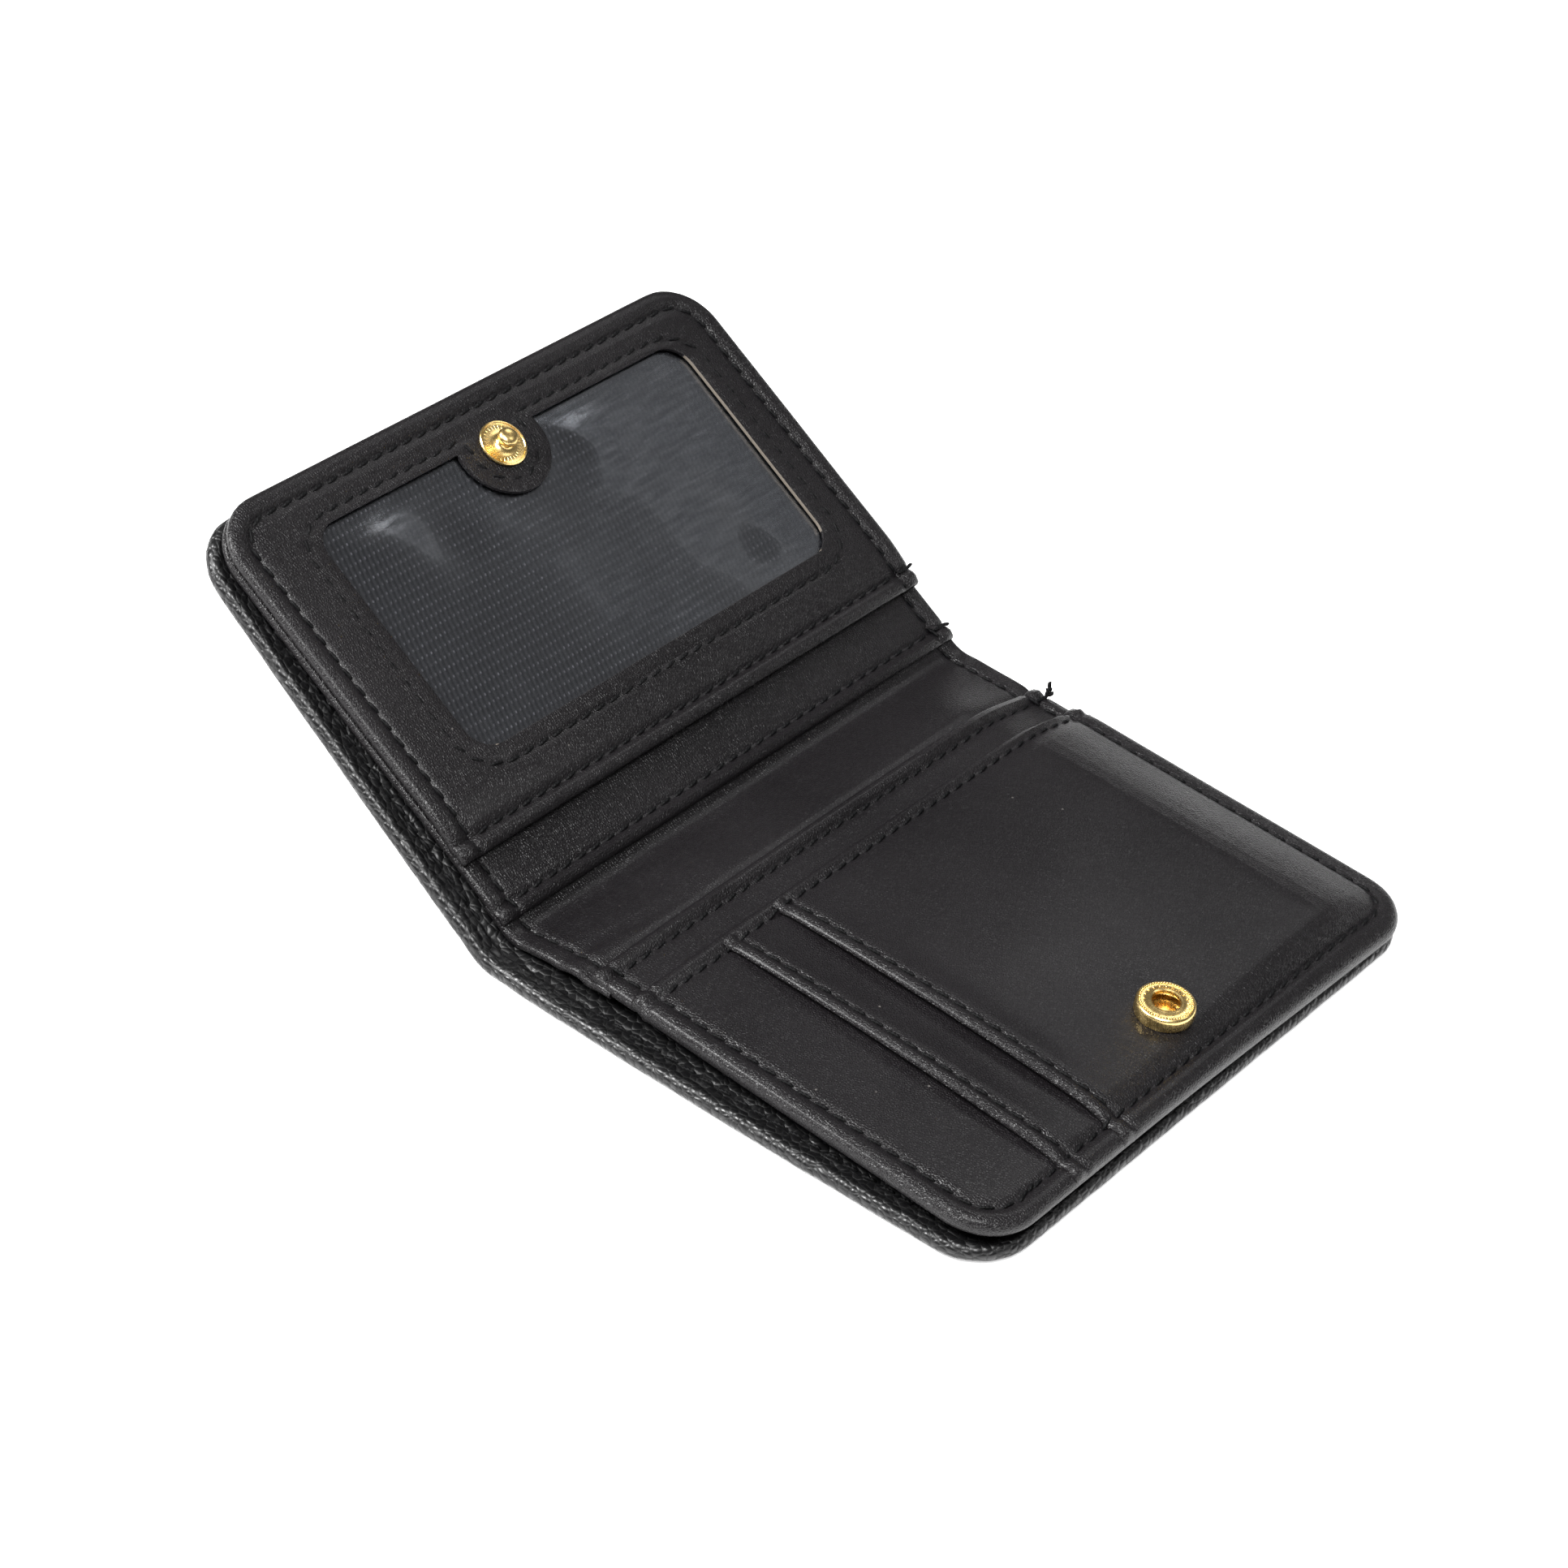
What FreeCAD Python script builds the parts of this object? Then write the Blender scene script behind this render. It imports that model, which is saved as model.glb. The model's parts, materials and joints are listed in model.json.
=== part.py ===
import FreeCAD, Part
import math
import os
import Sketcher

# Two-leaf folding wallet, lying open on its back.
# Origin: on the resting face, under the middle of the spine. +X runs to the leaf with the card slots and
# the snap socket, +Y runs along the fold away from the note mouth, +Z is up. The other leaf lies towards -X
# and stands raised by its rest tilt. Every leaf piece is drawn flat and then turned about its own fold line.

Vector = FreeCAD.Vector

driving_sizes = [
    ("walletLength", 105.0, "along the fold"),
    ("leafReach", 74.8, "fold line to outer edge"),
    ("cornerRadius", 9.0, "outer corners of both leaves"),
    ("restTilt", 28.5, "degrees the left leaf stands above flat"),
    ("closedGap", 4.0, "between the leaves when folded shut"),
    ("foldClear", 0.15, "each side of a fold line"),
    ("axisClear", 0.4, "fold axis above the spine liner"),
    ("shellThick", 1.2, "outer leather"),
    ("boardThick", 0.8, "stiffening board"),
    ("liningThick", 0.4, "woven lining"),
    ("cashGapRight", 2.9, "note compartment height in the right leaf"),
    ("cashGapLeft", 0.8, "the same in the left leaf, which is pressed flatter"),
    ("rimWidth", 3.2, "sewn edge of the outer leather"),
    ("hemWidth", 12.0, "leather turned in at the note mouth"),
    ("seamStart", 10.0, "side seam starts this far from the mouth"),
    ("layFit", 0.2, "gap round a piece laid in a recess"),
    ("panelThick", 0.6, "pocket leather"),
    ("slotLiningThick", 0.25, "thin lining behind a card slot"),
    ("liningInset", 1.5, "slot lining inside its panel's edges"),
    ("spineGap", 0.3, "between spine lining and spine liner"),
    ("linerThick", 0.8, "smooth leather over the spine"),
    ("underPocketStart", 1.9, "fold line to the under pocket's turned edge"),
    ("cardPanelStart", 9.6, "fold line to the card panels' turned edge"),
    ("slotEdgeInset", 1.5, "upper card panels start behind that edge"),
    ("slotMouthB", 18.0, "note mouth edge to the first card slot"),
    ("slotMouthC", 28.8, "note mouth edge to the second card slot"),
    ("lowerPocketStart", 2.0, "left fold line to the lower pocket's edge"),
    ("upperPocketStart", 12.2, "left fold line to the window panel's edge"),
    ("windowPanelThick", 0.8, "leather round the card window"),
    ("windowStart", 24.5, "left fold line to the window"),
    ("windowWidth", 41.2, "across the leaf"),
    ("windowNear", 13.7, "note mouth edge to the window"),
    ("windowFar", 10.9, "window to the far edge"),
    ("windowRadius", 4.5, "corners of the window"),
    ("filmThick", 0.3, "clear film"),
    ("filmMargin", 4.5, "film beyond the window"),
    ("backingThick", 0.4, "woven sheet behind the film"),
    ("tabRadius", 8.3, "round tab that carries the stud"),
    ("tabNeck", 12.0, "strap that ties the tab to the outer side of the window"),
    ("snapReach", 63.9, "fold line to the middle of the snap"),
    ("studFlangeRadius", 3.9, "stud flange"),
    ("studFlangeThick", 0.8, "stud flange"),
    ("studNeckRadius", 1.15, "stud neck"),
    ("studBallRadius", 1.65, "stud ball"),
    ("studHeight", 3.1, "leather to the top of the ball"),
    ("snapRunClear", 0.45, "socket bore over the ball's radius"),
    ("socketRadius", 4.45, "socket disc"),
    ("socketHeight", 2.5, "socket disc"),
    ("socketWall", 0.5, "socket top and bottom walls"),
    ("socketCavityRadius", 3.5, "room for the spring"),
    ("springRadius", 2.9, "spring ring, middle of the wire"),
    ("springWire", 0.25, "spring wire radius"),
    ("rimBeadRadius", 0.35, "bead on the edge of flange and socket"),
    ("rimBeadInset", 0.05, "bead in from the disc's flat faces"),
    ("rivetHeadRadius", 3.2, "flat head behind the leather"),
    ("rivetPostRadius", 1.1, "tube through the leather"),
    ("rivetFit", 0.1, "leather hole over the rivet"),
    ("rivetShort", 0.3, "rivet post below the face of the leather, clear of the stud ball"),
    ("stitchInset", 3.5, "edge seam inside the outline"),
    ("slotStitchInset", 2.6, "seam behind a turned pocket edge"),
    ("windowStitchInset", 3.0, "seam round the window"),
    ("hemStitchInset", 3.6, "seam on the turned hem"),
    ("stitchPitch", 3.1, "stitch spacing"),
    ("stitchSkip", 0.7, "gap between stitches"),
    ("threadRadius", 0.17, "sewing thread"),
    ("threadLift", 0.02, "thread above the leather"),
]

doc = FreeCAD.newDocument("Wallet")
sheet = doc.addObject("Spreadsheet::Sheet", "Dims")
for row, (alias, value, note) in enumerate(driving_sizes, start=1):
    sheet.set(f"A{row}", alias)
    sheet.set(f"B{row}", str(value))
    sheet.set(f"C{row}", note)
    sheet.setAlias(f"B{row}", alias)
doc.recompute()


def size(alias):
    return float(sheet.get(alias))


def total(*terms):
    return " + ".join(terms)


# Heights of the layers, as expressions on the sheet, from the resting face up.
shell_level = "0"
board_level = "Dims.shellThick"
shell_lining_level = total(board_level, "Dims.boardThick")
cash_floor = total(shell_lining_level, "Dims.liningThick")
pocket_lining_level = {
    "right": total(cash_floor, "Dims.cashGapRight"),
    "left": total(cash_floor, "Dims.cashGapLeft"),
}
pocket_level = {side: total(level, "Dims.liningThick") for side, level in pocket_lining_level.items()}
pockets_deep = "(4 * Dims.panelThick + 2 * Dims.slotLiningThick)"
leaf_top = {side: total(level, pockets_deep) for side, level in pocket_level.items()}
panel_a_level = total(pocket_level["right"], "Dims.panelThick")
lining_b_level = total(panel_a_level, "Dims.panelThick")
panel_b_level = total(lining_b_level, "Dims.slotLiningThick")
lining_c_level = total(panel_b_level, "Dims.panelThick")
panel_c_level = total(lining_c_level, "Dims.slotLiningThick")
slot_lining_left_level = total(pocket_level["left"], "Dims.panelThick")
backing_level = total(slot_lining_left_level, "Dims.slotLiningThick")
window_panel_level = f"{leaf_top['left']} - Dims.windowPanelThick"
film_level = f"{window_panel_level} - Dims.filmThick"
spine_lining_level = "Dims.shellThick"
spine_liner_level = total(spine_lining_level, "Dims.liningThick", "Dims.spineGap")
spine_top = total(spine_liner_level, "Dims.linerThick")
fold_height = total(spine_top, "Dims.axisClear")

# Plan positions. The fold lines stand apart by the closed gap and both leaves' depth above the axis.
both_tops = total(leaf_top["right"], leaf_top["left"])
fold = f"((Dims.closedGap + {both_tops}) / 2 - ({fold_height}))"
near = "-Dims.walletLength / 2"
far = "Dims.walletLength / 2"
outer = f"{fold} + Dims.leafReach"
leaf_start = f"{fold} + Dims.foldClear"

turned_about_fold = (
    "create(<<placement>>; create(<<vector>>; 0; 0; 0);"
    " create(<<rotation>>; create(<<vector>>; 0; 1; 0); Dims.restTilt);"
    f" create(<<vector>>; -({fold}); 0; {fold_height}))"
)

parts = []


def place(part, side):
    """Turn a left leaf piece up about its fold line; the others lie as drawn."""
    if side == "left":
        part.setExpression("Placement", turned_about_fold)


def new_body(label, side):
    body = doc.addObject("PartDesign::Body", label)
    body.Label = label
    place(body, side)
    parts.append(body)
    return body


def base_plane(body):
    return next(item for item in body.Origin.OriginFeatures if item.Role == "XY_Plane")


def attach(sketch, body, level):
    sketch.AttachmentSupport = [(base_plane(body), "")]
    sketch.MapMode = "FlatFace"
    sketch.setExpression("AttachmentOffset.Base.z", level)


def across(side, low, high):
    """X limits of a piece from its distances out from the middle of the spine."""
    if side == "left":
        return f"-({high})", f"-({low})"
    return low, high


def rectangle(body, name, level, x_low, x_high, y_low, y_high):
    """Sketch of a rectangle whose four sides are held by expressions."""
    sketch = body.newObject("Sketcher::SketchObject", name)
    attach(sketch, body, level)
    corners = [Vector(-9, -9, 0), Vector(9, -9, 0), Vector(9, 9, 0), Vector(-9, 9, 0)]
    for index, corner in enumerate(corners):
        sketch.addGeometry(Part.LineSegment(corner, corners[(index + 1) % 4]))
    for index in range(4):
        sketch.addConstraint(Sketcher.Constraint("Coincident", index, 2, (index + 1) % 4, 1))
    for index, kind in enumerate(("Horizontal", "Vertical", "Horizontal", "Vertical")):
        sketch.addConstraint(Sketcher.Constraint(kind, index))
    sides = (
        ("xLow", "DistanceX", 0, x_low, -9),
        ("xHigh", "DistanceX", 1, x_high, 9),
        ("yLow", "DistanceY", 0, y_low, -9),
        ("yHigh", "DistanceY", 2, y_high, 9),
    )
    for side_name, kind, line, expression, value in sides:
        number = sketch.addConstraint(Sketcher.Constraint(kind, -1, 1, line, 1, value))
        sketch.renameConstraint(number, side_name)
        sketch.setExpression(f"Constraints.{side_name}", expression)
    return sketch


def circle(body, name, level, x, y, radius):
    """Sketch of a circle held by expressions."""
    sketch = body.newObject("Sketcher::SketchObject", name)
    attach(sketch, body, level)
    sketch.addGeometry(Part.Circle(Vector(1, 1, 0), Vector(0, 0, 1), 1))
    held = (
        ("midX", Sketcher.Constraint("DistanceX", -1, 1, 0, 3, 1), x),
        ("midY", Sketcher.Constraint("DistanceY", -1, 1, 0, 3, 1), y),
        ("round", Sketcher.Constraint("Radius", 0, 1), radius),
    )
    for name_held, constraint, expression in held:
        number = sketch.addConstraint(constraint)
        sketch.renameConstraint(number, name_held)
        sketch.setExpression(f"Constraints.{name_held}", expression)
    return sketch


def pad(body, sketch, height):
    feature = body.newObject("PartDesign::Pad", "Pad")
    feature.Profile = sketch
    feature.setExpression("Length", height)
    doc.recompute()
    return feature


def pocket(body, sketch, depth):
    """Cut downwards from the sketch, and make sure that material went."""
    before = body.Shape.Volume
    feature = body.newObject("PartDesign::Pocket", "Pocket")
    feature.Profile = sketch
    feature.setExpression("Length", depth)
    doc.recompute()
    if body.Shape.Volume >= before:
        raise RuntimeError(f"{body.Label}: a pocket cut nothing")
    return feature


def value_of(expression):
    return float(sheet.evalExpression(expression))


def round_upright_edges(body, points, radius):
    """Round the upright edges that stand at the given plan points."""
    tip = body.Tip
    names = []
    for number, edge in enumerate(tip.Shape.Edges, start=1):
        start = edge.Vertexes[0].Point
        end = edge.Vertexes[-1].Point
        upright = abs(start.x - end.x) < 1e-6 and abs(start.y - end.y) < 1e-6
        if upright and any(math.hypot(start.x - x, start.y - y) < 1e-3 for x, y in points):
            names.append(f"Edge{number}")
    fillet = body.newObject("PartDesign::Fillet", "Fillet")
    fillet.Base = (tip, names)
    fillet.setExpression("Radius", radius)
    doc.recompute()
    return fillet


def sheet_piece(label, side, level, thickness, low, high, y_low, y_high, corner=None, corners="both"):
    """A flat piece cut from sheet, from one distance off the spine's middle to another."""
    body = new_body(label, side)
    x_low, x_high = across(side, low, high) if side != "spine" else (low, high)
    pad(body, rectangle(body, "Outline", level, x_low, x_high, y_low, y_high), thickness)
    if corner:
        sign = -1 if side == "left" else 1
        x_edge = sign * value_of(high)
        points = [(x_edge, value_of(y_high))]
        if corners == "both":
            points.append((x_edge, value_of(y_low)))
        round_upright_edges(body, points, corner)
    return body


def hole(body, side, level, depth, reach, radius):
    sign = "-" if side == "left" else ""
    pocket(body, circle(body, "Hole", level, f"{sign}({reach})", "0", radius), depth)


# ---- Outer leather: flat back, sewn rim on the outer and far sides, turned hem at the note mouth.

hem_top = cash_floor
rim_inner = f"{outer} - Dims.rimWidth"
far_inner = f"{far} - Dims.rimWidth"
overrun = "5"


def outer_shell(side):
    body = new_body(f"outer_shell_{side}", side)
    sign = -1 if side == "left" else 1
    x_low, x_high = across(side, leaf_start, outer)
    rim_top = pocket_lining_level[side]
    cash_gap = f"{rim_top} - ({hem_top})"
    pad(body, rectangle(body, "Outline", shell_level, x_low, x_high, near, far), rim_top)
    edge = sign * value_of(outer)
    ends = [(edge, value_of(near)), (edge, value_of(far))]
    round_upright_edges(body, ends, "Dims.cornerRadius")
    inner_end = (sign * value_of(rim_inner), value_of(far_inner))
    x_low, x_high = across(side, f"{fold} - {overrun}", rim_inner)
    cash = rectangle(body, "Cash", rim_top, x_low, x_high, f"{near} - {overrun}", far_inner)
    pocket(body, cash, cash_gap)
    round_upright_edges(body, [inner_end], "Dims.cornerRadius - Dims.rimWidth")
    hem_end = f"{near} + Dims.hemWidth"
    well = rectangle(body, "Well", hem_top, x_low, x_high, hem_end, far_inner)
    pocket(body, well, "Dims.boardThick + Dims.liningThick")
    x_low, x_high = across(side, f"{rim_inner} - Dims.rimWidth", f"{outer} + {overrun}")
    mouth_end = f"{near} + Dims.seamStart"
    mouth = rectangle(body, "Mouth", rim_top, x_low, x_high, f"{near} - {overrun}", mouth_end)
    pocket(body, mouth, cash_gap)
    return body


def well_sheet(label, side, level, thickness, inset):
    """A sheet laid in the shell's well, clear of hem and rim."""
    return sheet_piece(
        label, side, level, thickness,
        leaf_start, f"{rim_inner} - {inset}",
        f"{near} + Dims.hemWidth + {inset}", f"{far_inner} - {inset}",
        corner="Dims.cornerRadius - Dims.rimWidth", corners="far",
    )


for leaf in ("right", "left"):
    outer_shell(leaf)
    well_sheet(f"shell_board_{leaf}", leaf, board_level, "Dims.boardThick", "2 * Dims.layFit")
    well_sheet(f"shell_lining_{leaf}", leaf, shell_lining_level, "Dims.liningThick", "Dims.layFit")
    sheet_piece(
        f"pocket_lining_{leaf}", leaf, pocket_lining_level[leaf], "Dims.liningThick",
        leaf_start, outer, near, far, corner="Dims.cornerRadius",
    )

spine_edge = f"{fold} - Dims.foldClear"
spine_pieces = (
    ("outer_shell_spine", shell_level, "Dims.shellThick"),
    ("shell_lining_spine", spine_lining_level, "Dims.liningThick"),
    ("inner_liner_spine", spine_liner_level, "Dims.linerThick"),
)
for label, level, thickness in spine_pieces:
    sheet_piece(label, "spine", level, thickness, f"-({spine_edge})", spine_edge, near, far)

# ---- Right leaf: under pocket, three card panels and the thin linings between them.

panel_edge = f"{fold} + Dims.cardPanelStart"
slot_edge = f"{panel_edge} + Dims.slotEdgeInset"
mouth_b = f"{near} + Dims.slotMouthB"
mouth_c = f"{near} + Dims.slotMouthC"
snap_place = f"{fold} + Dims.snapReach"
head_hole = "Dims.rivetHeadRadius + Dims.rivetFit"
post_hole = "Dims.rivetPostRadius + Dims.rivetFit"

sheet_piece(
    "under_pocket_panel", "right", pocket_level["right"], "Dims.panelThick",
    f"{fold} + Dims.underPocketStart", outer, near, far, corner="Dims.cornerRadius",
)
sheet_piece(
    "card_panel_a", "right", panel_a_level, "Dims.panelThick",
    panel_edge, outer, near, far, corner="Dims.cornerRadius",
)


def slot_lining(label, side, level, low, y_low):
    return sheet_piece(
        label, side, level, "Dims.slotLiningThick",
        f"{low} + Dims.liningInset", f"{outer} - Dims.liningInset",
        f"{y_low} + Dims.liningInset", f"{far} - Dims.liningInset",
        corner="Dims.cornerRadius - Dims.liningInset", corners="far",
    )


slot_lining("slot_lining_b", "right", lining_b_level, slot_edge, mouth_b)
sheet_piece(
    "card_panel_b", "right", panel_b_level, "Dims.panelThick",
    slot_edge, outer, mouth_b, far, corner="Dims.cornerRadius", corners="far",
)
lining_c = slot_lining("slot_lining_c", "right", lining_c_level, slot_edge, mouth_c)
hole(lining_c, "right", panel_c_level, "Dims.slotLiningThick", snap_place, head_hole)
panel_c = sheet_piece(
    "card_panel_c", "right", panel_c_level, "Dims.panelThick",
    slot_edge, outer, mouth_c, far, corner="Dims.cornerRadius", corners="far",
)
hole(panel_c, "right", leaf_top["right"], "Dims.panelThick", snap_place, post_hole)

# ---- Left leaf: lower card pocket, its lining, and the window panel with backing and film.

sheet_piece(
    "pocket_panel_left", "left", pocket_level["left"], "Dims.panelThick",
    f"{fold} + Dims.lowerPocketStart", outer, near, far, corner="Dims.cornerRadius",
)
window_edge = f"{fold} + Dims.upperPocketStart"
slot_lining("slot_lining_left", "left", slot_lining_left_level, window_edge, near)

window_low = f"{fold} + Dims.windowStart"
window_high = f"{window_low} + Dims.windowWidth"
window_near = f"{near} + Dims.windowNear"
window_far = f"{far} - Dims.windowFar"


def behind_window(label, level, thickness):
    """A sheet a little larger than the window."""
    return sheet_piece(
        label, "left", level, thickness,
        f"{window_low} - Dims.filmMargin", f"{window_high} + Dims.filmMargin",
        f"{window_near} - Dims.filmMargin", f"{window_far} + Dims.filmMargin",
    )


behind_window("window_backing", backing_level, "Dims.backingThick")
film = behind_window("window_film", film_level, "Dims.filmThick")
hole(film, "left", window_panel_level, "Dims.filmThick", snap_place, head_hole)


def window_panel():
    body = sheet_piece(
        "window_panel", "left", window_panel_level, "Dims.windowPanelThick",
        window_edge, outer, near, far, corner="Dims.cornerRadius",
    )
    x_low, x_high = across("left", window_low, window_high)
    opening = rectangle(body, "Window", leaf_top["left"], x_low, x_high, window_near, window_far)
    pocket(body, opening, "Dims.windowPanelThick")
    corners = [(value_of(x), value_of(y)) for x in (x_low, x_high) for y in (window_near, window_far)]
    round_upright_edges(body, corners, "Dims.windowRadius")
    tab = circle(body, "Tab", window_panel_level, f"-({snap_place})", "0", "Dims.tabRadius")
    pad(body, tab, "Dims.windowPanelThick")
    neck_low, neck_high = across("left", snap_place, f"{outer} - Dims.stitchInset")
    neck = rectangle(body, "TabNeck", window_panel_level, neck_low, neck_high, "-(Dims.tabNeck / 2)", "Dims.tabNeck / 2")
    pad(body, neck, "Dims.windowPanelThick")
    hole(body, "left", leaf_top["left"], "Dims.windowPanelThick", snap_place, post_hole)


window_panel()

# ---- Snap fastener: stud on the window tab, socket on the top card panel, a rivet behind each.


def primitive(kind, name, side, level, **sizes):
    """A round Part primitive on the snap's axis, with each size bound to the sheet."""
    item = doc.addObject(f"Part::{kind}", name)
    for size_name, expression in sizes.items():
        item.setExpression(size_name, expression)
    sign = "-" if side == "left" else ""
    item.setExpression("Placement.Base.x", f"{sign}({snap_place})")
    item.setExpression("Placement.Base.z", level)
    return item


def combine(kind, label, side, items):
    """Fuse the items, or cut the later ones from the first, as one sub-part."""
    result = doc.addObject(f"Part::{kind}", label)
    if kind == "Cut":
        result.Base, result.Tool = items
    else:
        result.Shapes = items
    return result


def finish(item, label, side):
    item.Label = label
    place(item, side)
    parts.append(item)


def rim_bead(name, side, level, radius):
    return primitive("Torus", name, side, level, Radius1=radius, Radius2="Dims.rimBeadRadius")


def snap_stud():
    foot = leaf_top["left"]
    flange = primitive("Cylinder", "StudFlange", "left", foot,
                       Radius="Dims.studFlangeRadius - Dims.rimBeadRadius", Height="Dims.studFlangeThick")
    bead = rim_bead("StudBead", "left", f"{foot} + Dims.studFlangeThick / 2",
                    "Dims.studFlangeRadius - Dims.rimBeadRadius")
    neck = primitive("Cylinder", "StudNeck", "left", foot,
                     Radius="Dims.studNeckRadius", Height="Dims.studHeight - Dims.studBallRadius")
    ball = primitive("Sphere", "StudBall", "left",
                     f"{foot} + Dims.studHeight - Dims.studBallRadius", Radius="Dims.studBallRadius")
    stud = combine("MultiFuse", "snap_stud", "left", [flange, bead, neck, ball])
    finish(stud, "snap_stud", "left")


def snap_socket():
    foot = leaf_top["right"]
    bore = "Dims.studBallRadius + Dims.snapRunClear"
    disc = primitive("Cylinder", "SocketDisc", "right", foot,
                     Radius="Dims.socketRadius - Dims.rimBeadRadius", Height="Dims.socketHeight")
    beads = [
        rim_bead("SocketLowBead", "right", f"{foot} + Dims.rimBeadInset + Dims.rimBeadRadius",
                 "Dims.socketRadius - Dims.rimBeadRadius"),
        rim_bead("SocketTopBead", "right", f"{foot} + Dims.socketHeight - Dims.rimBeadInset - Dims.rimBeadRadius",
                 "Dims.socketRadius - Dims.rimBeadRadius"),
    ]
    solid = combine("MultiFuse", "SocketSolid", "right", [disc] + beads)
    cavity = primitive("Cylinder", "SocketCavity", "right", f"{foot} + Dims.socketWall",
                       Radius="Dims.socketCavityRadius", Height="Dims.socketHeight - 2 * Dims.socketWall")
    mouth = primitive("Cylinder", "SocketMouth", "right", f"{foot} + Dims.socketWall",
                      Radius=bore, Height="Dims.socketHeight")
    hollow = combine("MultiFuse", "SocketHollow", "right", [cavity, mouth])
    socket = combine("Cut", "snap_socket", "right", (solid, hollow))
    finish(socket, "snap_socket", "right")
    spring = primitive("Torus", "socket_spring", "right", f"{foot} + Dims.socketHeight / 2",
                       Radius1="Dims.springRadius", Radius2="Dims.springWire")
    spring.setExpression("Angle3", "300")
    finish(spring, "socket_spring", "right")


def rivet(label, side, head_level, head_thickness):
    head = primitive("Cylinder", f"{label}_head", side, head_level,
                     Radius="Dims.rivetHeadRadius", Height=head_thickness)
    post = primitive("Cylinder", f"{label}_post", side, head_level,
                     Radius="Dims.rivetPostRadius",
                     Height=f"{leaf_top[side]} - ({head_level}) - Dims.rivetShort")
    finish(combine("MultiFuse", label, side, [head, post]), label, side)


snap_stud()
snap_socket()
rivet("stud_rivet", "left", film_level, "Dims.filmThick")
rivet("socket_rivet", "right", lining_c_level, "Dims.slotLiningThick")

# ---- Sewing thread: rows of short stitches lying on the leather.

half_length = size("walletLength") / 2
fold_x = value_of(fold)
outer_x = value_of(outer)


def right_surface(x, y):
    """Height of the leather under a point of the right leaf."""
    if x < value_of(panel_edge):
        return value_of(panel_a_level)
    if x < value_of(slot_edge) or y < value_of(mouth_b):
        return value_of(lining_b_level)
    if y < value_of(mouth_c):
        return value_of(lining_c_level)
    return value_of(leaf_top["right"])


def left_surface(x, y):
    """Height of the leather under a point of the left leaf, before it is turned."""
    if -x < value_of(window_edge):
        return value_of(slot_lining_left_level)
    return value_of(leaf_top["left"])


def stitches(paths, surface):
    """Short round stitches end to end along each path, lying just clear of the surface."""
    reach = (size("stitchPitch") - size("stitchSkip")) / 2
    radius = size("threadRadius")
    solids = []
    for path in paths:
        count = max(2, round(path.Length / size("stitchPitch")))
        points = path.discretize(Number=count + 1)
        for start, end in zip(points, points[1:]):
            middle = (start + end) * 0.5
            along = (end - start).normalize() * reach
            level = max(surface(place.x, place.y) for place in (middle - along, middle, middle + along))
            foot = middle - along
            base = Vector(foot.x, foot.y, level + radius + size("threadLift"))
            solids.append(Part.makeCylinder(radius, 2 * reach, base, along))
    return solids


def thread_piece(label, side, solids):
    piece = doc.addObject("Part::Feature", label)
    piece.Shape = Part.makeCompound(solids)
    piece.Label = label
    place(piece, side)
    parts.append(piece)


def line(x_start, y_start, x_end, y_end):
    return Part.Wire([Part.makeLine(Vector(x_start, y_start, 0), Vector(x_end, y_end, 0))])


def edge_seam(sign):
    """Path from the spine along the mouth, round the outer side and back along the far edge."""
    inset = size("stitchInset")
    radius = size("cornerRadius") - inset
    start = sign * (fold_x + 1.5)
    side_x = sign * (outer_x - inset)
    turn_x = side_x - sign * radius
    side_y = half_length - inset
    turn_y = side_y - radius
    bulge = radius * (1 - math.sqrt(0.5))
    near_arc = Part.Arc(Vector(turn_x, -side_y, 0),
                        Vector(side_x - sign * bulge, -side_y + bulge, 0), Vector(side_x, -turn_y, 0))
    far_arc = Part.Arc(Vector(side_x, turn_y, 0),
                       Vector(side_x - sign * bulge, side_y - bulge, 0), Vector(turn_x, side_y, 0))
    return Part.Wire([
        Part.makeLine(Vector(start, -side_y, 0), Vector(turn_x, -side_y, 0)), near_arc.toShape(),
        Part.makeLine(Vector(side_x, -turn_y, 0), Vector(side_x, turn_y, 0)), far_arc.toShape(),
        Part.makeLine(Vector(turn_x, side_y, 0), Vector(start, side_y, 0)),
    ])


row_end = half_length - 2 * size("stitchInset")


def fold_row(x):
    return line(x, -row_end, x, row_end)


def slot_row(y):
    x_start = value_of(slot_edge) + size("slotStitchInset")
    return line(x_start, y, outer_x - 2 * size("stitchInset"), y)


def window_seam():
    """Rounded path outside the window, which swings in round the tab."""
    inset = size("windowStitchInset")
    low = -(value_of(window_low) - inset)
    high = -(value_of(window_high) + inset)
    y_low = value_of(window_near) - inset
    y_high = value_of(window_far) + inset
    tab_x = -value_of(snap_place)
    turn = size("tabRadius") - inset
    return [
        line(low, y_low, low, y_high), line(high, y_low, high, -turn), line(high, turn, high, y_high),
        line(low - inset, y_low, high + inset, y_low), line(low - inset, y_high, high + inset, y_high),
        Part.Wire([Part.Arc(Vector(tab_x, -turn, 0), Vector(tab_x + turn, 0, 0),
                            Vector(tab_x, turn, 0)).toShape()]),
    ]


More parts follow.
